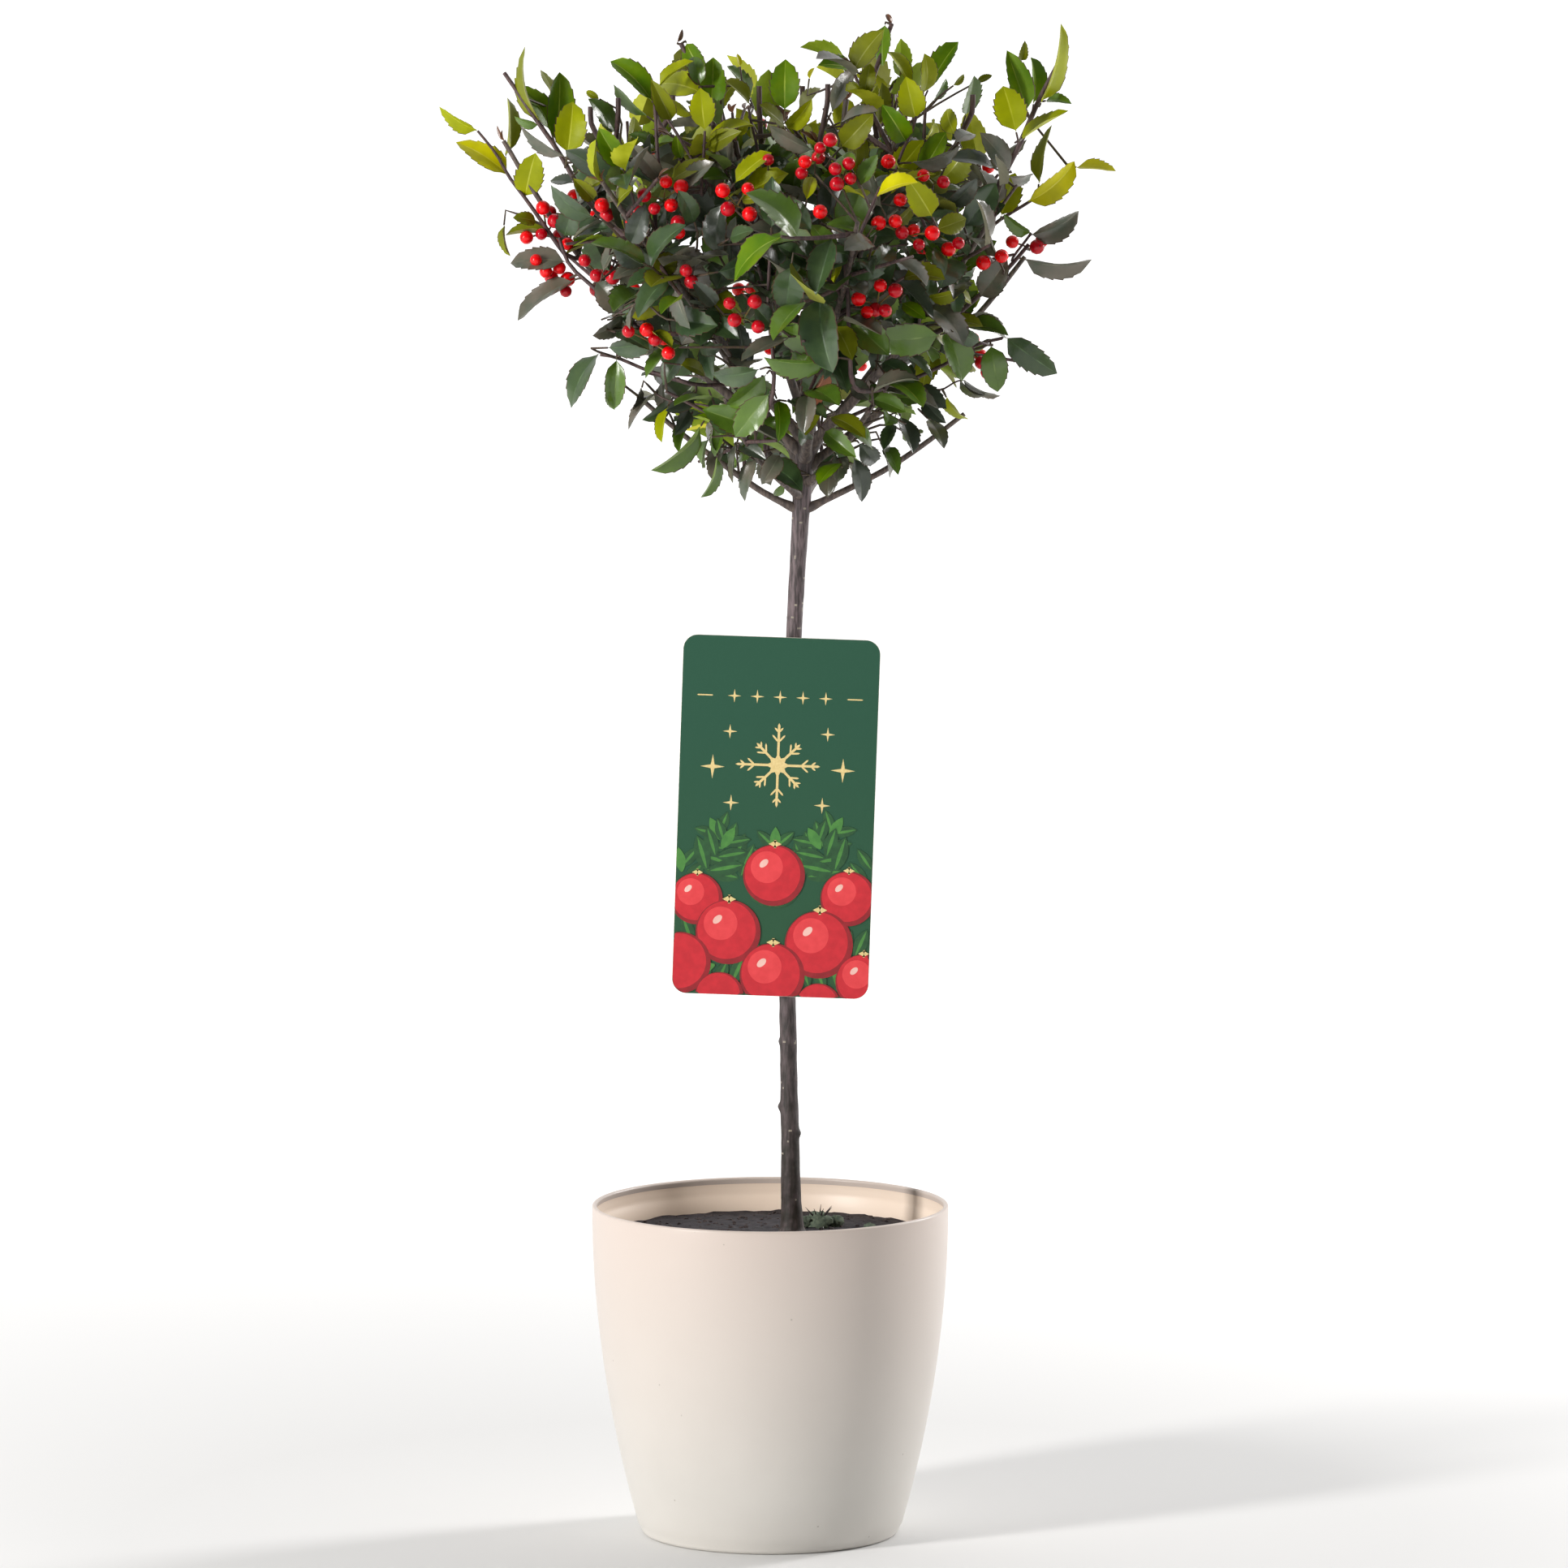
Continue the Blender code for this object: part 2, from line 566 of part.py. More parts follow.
class Mass:
    """One mass of foliage: a stem, its side twigs, their leaves and berries."""

    def __init__(self, owner, ring, stem, space, chance):
        self.owner = owner
        self.ring = ring
        self.stem = stem
        self.space = space
        self.chance = chance
        self.twigs = []
        self.shoots = []
        self.leaves = []
        self.spots = []
        self.berries = []

    def add_twigs(self):
        """Side twigs up the stem by the golden angle, each cut back until it has room."""
        turn = self.chance.uniform(0, math.tau)
        for index in range(self.ring.twigs):
            share = 0.10 + 0.76 * index / (self.ring.twigs - 1)
            spots = list(line_spots(self.stem, share * self.ring.stem_length * 0.95, 1.0))
            turn += GOLDEN_ANGLE
            if spots:
                self.add_twig(spots[0], share, turn)

    def add_twig(self, spot, share, turn):
        """One side twig, at the nearest turn and length that has room."""
        point, way, _ = spot
        length = TWIG_LENGTH * (1.1 - 0.35 * share) * self.chance.uniform(0.9, 1.1)
        for shorter in (1.0, 0.8, 0.62):
            for extra in (0, 0.5, -0.5, 1.0, -1.0):
                lean = side_way(way, turn + extra, TWIG_SPREAD)
                lean = unit(lean - self.ring.droop * 0.4 * UP)
                twig = np.array((point, point + lean * length * shorter))
                if self.space.holds(twig[1:], self.owner):
                    self.twigs.append(twig)
                    return

    def add_shoots(self):
        """Long shoots straight from the stem out to the tips that lie nearest to this mass, each bare
        below its leaves."""
        for tip in shoot_tips():
            if self.space.owner_of(tip) != self.owner:
                continue
            spots = [point for point, _, _ in line_spots(self.stem, SHOOT_FOOT_STEP, SHOOT_FOOT_STEP)]
            base = min(spots, key=lambda point: np.linalg.norm(tip - point))
            tests = base + (tip - base) * np.linspace(0, 1, SHOOT_TESTS)[1:, None]
            if not self.space.holds(tests, self.owner, SHOOT_MARGIN):
                continue
            shoot = np.array((base, tip))
            self.shoots.append(shoot)
            turn = self.chance.uniform(0, math.tau)
            bare = SHOOT_BARE * np.linalg.norm(tip - base)
            for point, way, _ in line_spots(shoot, bare, SHOOT_STEP):
                turn += GOLDEN_ANGLE
                self.add_leaf(point, way, turn, SHOOT_SPREAD, SHOOT_MARGIN)
            way = unit(tip - base)
            for step in range(2):
                turn += math.pi
                point = tip - way * TIP_STEP * (step + 0.5)
                self.add_leaf(point, way, turn, SHOOT_TIP_SPREAD, SHOOT_MARGIN)

    def add_leaves(self):
        """Leaves at even steps along every twig and the stem, and three at each tip. A twig that finds
        room for none is dropped."""
        twigs, self.twigs = self.twigs, []
        for line in [*twigs, self.stem]:
            before = len(self.leaves)
            turn = self.chance.uniform(0, math.tau)
            first = LEAF_STEP * 0.9
            for point, way, share in line_spots(line, first, LEAF_STEP):
                turn += GOLDEN_ANGLE
                self.add_leaf(point, way, turn, math.radians(72 - 22 * share))
            way = unit(line[-1] - line[-2])
            for step in range(3):
                turn += GOLDEN_ANGLE
                tip = line[-1] - way * TIP_STEP * (step + 0.5)
                self.add_leaf(tip, way, turn, math.radians(14 + 20 * step))
            if line is not self.stem and len(self.leaves) > before:
                self.twigs.append(line)

    def add_leaf(self, point, way, turn, spread, margin=0.0):
        """One leaf, turned on in steps until it has room, or left out."""
        size = np.interp(point[2], LOW_LEAF_HEIGHTS, (LOW_LEAF_SHARE, 1.0))
        length = LEAF_LENGTH * size * self.chance.uniform(0.86, 1.12)
        width = length * LEAF_WIDTH_SHARE * self.chance.uniform(0.92, 1.06)
        roll = self.chance.uniform(-LEAF_ROLL, LEAF_ROLL)
        for step in range(2 * LEAF_TURNS):
            droop = self.ring.droop if step < LEAF_TURNS else 0.0
            direction = side_way(way, turn + step * LEAF_TURN, spread)
            direction = unit(direction - droop * UP)
            face, side = leaf_frame(direction, point, roll)
            leaf = (point, direction, face, side, length, width)
            spots = leaf_samples(leaf)
            if self.space.holds(spots, self.owner, margin) and self.is_free(spots):
                self.leaves.append(leaf)
                self.spots.append(spots[5:])
                return

    def is_free(self, spots):
        """Whether a leaf stays off the leaves already there."""
        if not self.spots:
            return True
        there = np.concatenate(self.spots)
        away = np.linalg.norm(spots[5:, None] - there[None], axis=2)
        return bool(away.min() > LEAF_APART)

    def add_berries(self):
        """Berries that sit round the stem halfway up, sunk a little into its bark."""
        turn = self.chance.uniform(0, math.tau)
        for index in range(self.ring.berries):
            spots = list(line_spots(self.stem, self.ring.stem_length * (0.3 + 0.13 * index), 1.0))
            turn += GOLDEN_ANGLE
            point, way, _ = spots[0]
            middle = point + side_way(way, turn, math.pi / 2) * (BERRY_RADIUS + 0.0003)
            self.berries.append(middle)

    def pieces(self):
        """Every closed piece of the mass but the stem, as points and faces."""
        for twig in self.twigs:
            yield tube_piece(twig, np.linspace(*TWIG_RADII, len(twig)))
        for shoot in self.shoots:
            yield tube_piece(shoot, SHOOT_RADII)
        for leaf in self.leaves:
            yield leaf_piece(leaf)
        for middle in self.berries:
            yield berry_piece(middle)


def fused(thing, group):
    """Join an object with a collection's objects by one union, and then remove those."""
    union = thing.modifiers.new("Fuse", "BOOLEAN")
    union.operation = "UNION"
    union.operand_type = "COLLECTION"
    union.collection = group
    union.solver = "EXACT"
    mesh = evaluated_mesh(thing)
    thing.modifiers.clear()
    for piece in list(group.objects):
        bpy.data.objects.remove(piece, do_unlink=True)
    bpy.data.collections.remove(group)
    return mesh


def outer_body(mesh):
    """Keep the largest body of a mesh, which drops loose scraps and fills sealed hollows."""
    shape = bmesh.new()
    shape.from_mesh(mesh)
    bmesh.ops.triangulate(shape, faces=shape.faces)
    left = set(shape.faces)
    bodies = []
    while left:
        body, fringe = set(), [left.pop()]
        while fringe:
            face = fringe.pop()
            body.add(face)
            around = {other for edge in face.edges for other in edge.link_faces} & left
            left -= around
            fringe.extend(around)
        bodies.append(body)
    bodies.sort(key=len)
    loose = [face for body in bodies[:-1] for face in body]
    bmesh.ops.delete(shape, geom=loose, context="FACES")
    shape.to_mesh(mesh)
    shape.free()


def build_mass(name, owner, ring, stem, space, chance, collection, material):
    """Grow one mass of foliage and fuse it into one solid."""
    mass = Mass(owner, ring, stem, space, chance)
    mass.add_twigs()
    mass.add_berries()
    mass.add_shoots()
    mass.add_leaves()
    base = mesh_from(name, *tube_piece(stem, np.linspace(*STEM_RADII, len(stem))))
    thing = add_object(name, base, collection)
    group = new_collection(name + "_pieces")
    for index, (points, faces) in enumerate(mass.pieces()):
        add_object(f"{name}_{index}", mesh_from(f"{name}_{index}", points, faces), group)
    mesh = fused(thing, group)
    outer_body(mesh)
    mesh.name = name
    mesh.materials.clear()
    mesh.materials.append(material)
    thing.data = mesh
    return mass


def main():
    clear_scene()
    parts = new_collection("standard_holly")
    cutters = new_collection("cutters")
    cream = plain_material("cream_plastic", (0.78, 0.72, 0.65), 0.4)
    peat = plain_material("peat_soil", (0.050, 0.035, 0.032), 0.95)
    bark = plain_material("holly_bark", (0.085, 0.068, 0.070), 0.8)
    green = plain_material("holly_leaf", (0.10, 0.20, 0.03), 0.35)
    print_green = plain_material("green_card", (0.030, 0.115, 0.075), 0.4)
    paper = plain_material("paper_band", (0.75, 0.73, 0.68), 0.8)

    build_pot(parts, cream)
    build_soil(parts, peat)
    points, radii = trunk_points()
    limb_object("trunk", points, radii, parts, bark, resolution=4)
    clearance = limb_object("trunk_clearance", points, radii, cutters, bark, resolution=4, extra=GAP)
    clearance.hide_render = True
    clearance.display_type = "WIRE"
    build_card(parts, print_green)
    build_band(parts, paper)

    plan = limb_plan()
    space = Space(plan)
    for owner, (label, ring, bough, radii, stem, chance) in enumerate(plan):
        limb = limb_object(f"{label}_bough", bough, radii, parts, bark)
        if ring.name != "leader":
            cut_clear(limb, clearance)
        build_mass(f"{label}_foliage", owner, ring, stem, space, chance, parts, green)


main()
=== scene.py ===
"""The look of a young standard holly in a round pot, with a picture card looped round its clear stem.

The pot, soil, trunk, card and band stand where their solids are. The foliage grows on from the limbs by
the same seeded rule as the solids, and is carried on to finer twigs, leaves and berries. Lengths are in
metres. +Z is up, +X is to the right of the card's face and -Y is out of the card towards the viewer.
"""

import json
import math
import random
from collections import namedtuple

import bpy
import numpy as np
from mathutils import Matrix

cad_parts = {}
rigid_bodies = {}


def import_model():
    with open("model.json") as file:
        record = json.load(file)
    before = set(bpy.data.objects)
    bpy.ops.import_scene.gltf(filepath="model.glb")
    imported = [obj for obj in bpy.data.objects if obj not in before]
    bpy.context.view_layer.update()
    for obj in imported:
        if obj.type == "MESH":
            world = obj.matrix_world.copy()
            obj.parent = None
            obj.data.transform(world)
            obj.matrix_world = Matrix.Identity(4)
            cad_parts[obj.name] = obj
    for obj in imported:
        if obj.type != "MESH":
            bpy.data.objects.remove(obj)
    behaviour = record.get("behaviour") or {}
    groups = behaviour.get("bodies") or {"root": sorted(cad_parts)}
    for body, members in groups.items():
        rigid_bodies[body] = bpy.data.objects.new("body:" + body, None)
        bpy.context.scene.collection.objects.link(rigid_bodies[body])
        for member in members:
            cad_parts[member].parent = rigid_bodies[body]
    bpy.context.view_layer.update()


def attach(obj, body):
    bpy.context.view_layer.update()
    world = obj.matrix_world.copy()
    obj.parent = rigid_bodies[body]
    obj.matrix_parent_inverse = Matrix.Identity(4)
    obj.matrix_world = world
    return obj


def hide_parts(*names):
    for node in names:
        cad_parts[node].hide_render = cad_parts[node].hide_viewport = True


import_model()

# Sizes shared with the solids
GAP = 0.0003
POT_HEIGHT = 0.205
POT_RIM_RADIUS = 0.110
POT_TAPER = 0.030
POT_WALL = 0.003
POT_FLOOR = 0.004
POT_FOOT_ROUND = 0.0035
SOIL_TOP = 0.1877
SOIL_FLAT_RADIUS = 0.020
SOIL_EDGE_DROP = 0.003
TRUNK_FOOT = SOIL_TOP + GAP
TRUNK_COURSE = (
    (TRUNK_FOOT, 0.0135, 0.0000, 0.0086),
    (TRUNK_FOOT + 0.0022, 0.0135, 0.0000, 0.0076),
    (0.1980, 0.0133, 0.0000, 0.0067),
    (0.2150, 0.0127, 0.0002, 0.0060),
    (0.2714, 0.0118, 0.0008, 0.0054),
    (0.3340, 0.0105, 0.0014, 0.0051),
    (0.4460, 0.0110, 0.0018, 0.0049),
    (0.5576, 0.0145, 0.0010, 0.0048),
    (0.6060, 0.0171, 0.0002, 0.0050),
    (0.6390, 0.0193, 0.0000, 0.0055),
    (0.6670, 0.0212, 0.0000, 0.0062),
    (0.6900, 0.0225, 0.0000, 0.0058),
    (0.7050, 0.0230, 0.0000, 0.0046),
)
CARD_WIDTH = 0.121
CARD_HEIGHT = 0.222
CARD_THICK = 0.0008
CARD_CORNER = 0.009
CARD_MIDDLE = (0.0036, 0.446)
CARD_LEAN = math.radians(2.0)
BAND_HEIGHT = 0.024
BAND_THICK = 0.0010
CROWN_HEIGHTS = (0.630, 0.650, 0.670, 0.690, 0.700, 0.720, 0.760, 0.800, 0.860, 0.918)
CROWN_RADII = (0.048, 0.075, 0.083, 0.108, 0.126, 0.158, 0.166, 0.180, 0.190, 0.180)
CROWN_MIDDLES = (0.015, 0.012, 0.012, 0.014, 0.018, 0.020, 0.015, 0.011, 0.005, 0.003)
Ring = namedtuple(
    "Ring",
    "name count first_azimuth height stagger stride elevation lift length reach_left radii"
    " stem_length stem_lift twigs droop",
)
RINGS = (
    Ring("skirt", 6, 4, 0.6440, 0.0040, 2, 22, 0.020, 0.030, 0.00, (0.0024, 0.0020),
         0.088, 0.11, 5, 0.45),
    Ring("main", 8, 2, 0.6680, 0.0026, 3, 38, 0.030, 0.100, 0.15, (0.0034, 0.0023),
         0.128, 0.10, 6, 0.02),
    Ring("upright", 4, 42, 0.6900, 0.0020, 2, 60, 0.050, 0.080, 0.00, (0.0030, 0.0022),
         0.114, 0.06, 6, -0.12),
    Ring("leader", 1, 20, 0.7050, 0.0, 1, 87, 0.000, 0.076, 0.00, (0.0042, 0.0023),
         0.098, 0.00, 6, -0.15),
)
LIMB_STEPS = 3
STEM_STEPS = 3
LIMB_SWAY = 0.05
STEM_SWAY = 0.10
STEM_RADII = (0.0021, 0.0014)
TWIG_RADII = (0.0014, 0.0009)
TWIG_LENGTH = 0.057
TWIG_SPREAD = math.radians(52)
GOLDEN_ANGLE = math.radians(137.5)
LEAF_ARCH = 0.04
LEAF_TURN = math.radians(60)
LEAF_ROLL = 0.7
LEAF_CLEAR = 0.0016
LIMB_CLEAR = 0.0016
SEED = 11
UP = np.array((0.0, 0.0, 1.0))

SHOOT_TIPS = (
    (-0.1714, -0.030, 0.909),
    (-0.1960, -0.010, 0.868),
    (-0.0556, -0.050, 0.919),
    (0.0732, -0.040, 0.928),
    (0.1830, -0.075, 0.914),
    (0.2020, 0.010, 0.845),
    (0.1750, -0.030, 0.795),
    (0.1600, -0.030, 0.728),
    (-0.1480, -0.030, 0.780),
    (-0.1180, -0.030, 0.722),
)
SHOOT_TURNS = ((0, 0.0), (85, 0.008), (265, 0.030))
SHOOT_FOOT_STEP = 0.004
SHOOT_TESTS = 4
SHOOT_MARGIN = 0.021

# Finer growth than the solids carry
FINE_SEED = 500
TWIGLET_STEP = 0.016
TWIGLET_LENGTH = 0.026
TWIGLET_RADII = (0.0009, 0.0006)
SHOOT_RADII = (0.0017, 0.0010)
SHOOT_BEND = 0.05
LEAF_STEP = 0.0090
TWIGLET_LEAF_STEP = 0.0080
LEAF_APART = 0.0042
LEAF_WIDTH_SHARE = 0.60
LEAF_THICK = 0.0006
LEAF_HEIGHTS = (0.64, 0.71, 0.76, 0.82, 0.88, 0.93)
LEAF_LENGTHS = (0.029, 0.041, 0.043, 0.038, 0.034, 0.031)
BERRY_RADIUS = 0.0043
BERRY_APART = 0.0089
BERRY_WINDOW = 0.0062
STALK_RADIUS = 0.0005

# How light the leaves on each shoot are, from painted shade to young yellow leaves lit by painted light
SHOOT_MOODS = (0.9, 1.8, 0.8, 0.8, 0.9, 1.8, -1.0, -1.0, -1.0, -1.0)

# Stubs left by pruning: how far right and back each one stands, and its top
STUBS = (
    (-0.092, -0.030, 0.888), (-0.069, -0.045, 0.886), (-0.031, -0.030, 0.898), (-0.0065, -0.050, 0.896),
    (0.035, -0.045, 0.897), (0.061, -0.030, 0.899), (0.123, -0.030, 0.890),
    (0.090, 0.060, 0.886), (0.020, 0.090, 0.890), (-0.060, 0.070, 0.885), (-0.110, 0.030, 0.880),
)
STUB_DROP = 0.034
STUB_RADIUS = 0.0017

# Stems at the front, as the plant carries them: radii at the foot and the tip, and points, in millimetres
FRONT_STEMS = (
    (1.9, 1.3, ((-94, -60, 809), (-114, -54, 831), (-126, -48, 854), (-140, -42, 873), (-153, -36, 892), (-161, -30, 903))),
    (1.6, 0.8, ((-123, -25, 790), (-131, -22, 801), (-149, -19, 827), (-159, -16, 839), (-166, -13, 853), (-178, -10, 867))),
    (1.5, 0.8, ((-37, -90, 835), (-48, -83, 856), (-60, -77, 875), (-67, -70, 884))),
    (1.3, 0.8, ((-42, -105, 830), (-40, -100, 848), (-39, -95, 871))),
    (1.5, 1.0, ((-65, -80, 834), (-68, -77, 857), (-69, -73, 889), (-69, -70, 898))),
    (1.8, 1.5, ((-32, -40, 864), (-39, -34, 887), (-42, -27, 895), (-48, -21, 908), (-54, -15, 920))),
    (1.8, 1.4, ((52, -35, 869), (59, -29, 892), (65, -22, 906), (69, -16, 919), (74, -10, 932))),
    (1.9, 1.4, ((136, -70, 834), (145, -71, 851), (152, -72, 865), (161, -73, 887), (170, -74, 904), (179, -75, 921))),
    (1.5, 0.8, ((124, -5, 799), (139, -1, 812), (155, 3, 821), (166, 6, 828), (186, 10, 841))),
    (1.8, 1.2, ((102, -60, 746), (113, -53, 758), (126, -45, 768), (145, -37, 785), (157, -30, 799))),
    (1.3, 1.0, ((87, -55, 719), (101, -49, 725), (116, -43, 732), (125, -36, 739), (141, -30, 742))),
    (1.7, 1.1, ((-74, -60, 746), (-89, -53, 758), (-108, -45, 775), (-123, -37, 787), (-128, -30, 803))),
    (1.3, 1.0, ((-43, -50, 714), (-59, -45, 719), (-75, -40, 723), (-93, -35, 731), (-103, -30, 732))),
    (1.2, 0.8, ((74, -85, 840), (78, -82, 855), (86, -78, 871), (88, -75, 879))),
    (1.2, 1.0, ((94, -55, 858), (93, -53, 869), (94, -50, 882))),
    (1.0, 0.8, ((65, -26, 857), (65, -20, 873))),
    (1.5, 0.9, ((27, -9, 655), (37, -13, 664), (47, -18, 672))),
    (0.8, 0.6, ((-47, -40, 714), (-62, -35, 718), (-76, -30, 721))),
    (0.8, 0.5, ((-27, -45, 696), (-36, -43, 702), (-47, -40, 703), (-62, -37, 704), (-70, -35, 709))),
    (0.8, 0.5, ((87, -45, 706), (96, -43, 712), (105, -40, 711), (112, -37, 716), (117, -35, 717))),
    (1.2, 0.8, ((-5, -80, 847), (-8, -77, 862), (-11, -73, 874), (-13, -70, 884))),
    (0.8, 0.8, ((146, -35, 790), (158, -32, 805), (158, -30, 806))),
    (1.6, 1.2, ((49, -115, 715), (48, -119, 736), (47, -122, 760), (47, -126, 772), (44, -130, 802))),
    (1.4, 1.0, ((-2, -110, 697), (4, -115, 723), (-2, -120, 769), (1, -125, 807))),
)
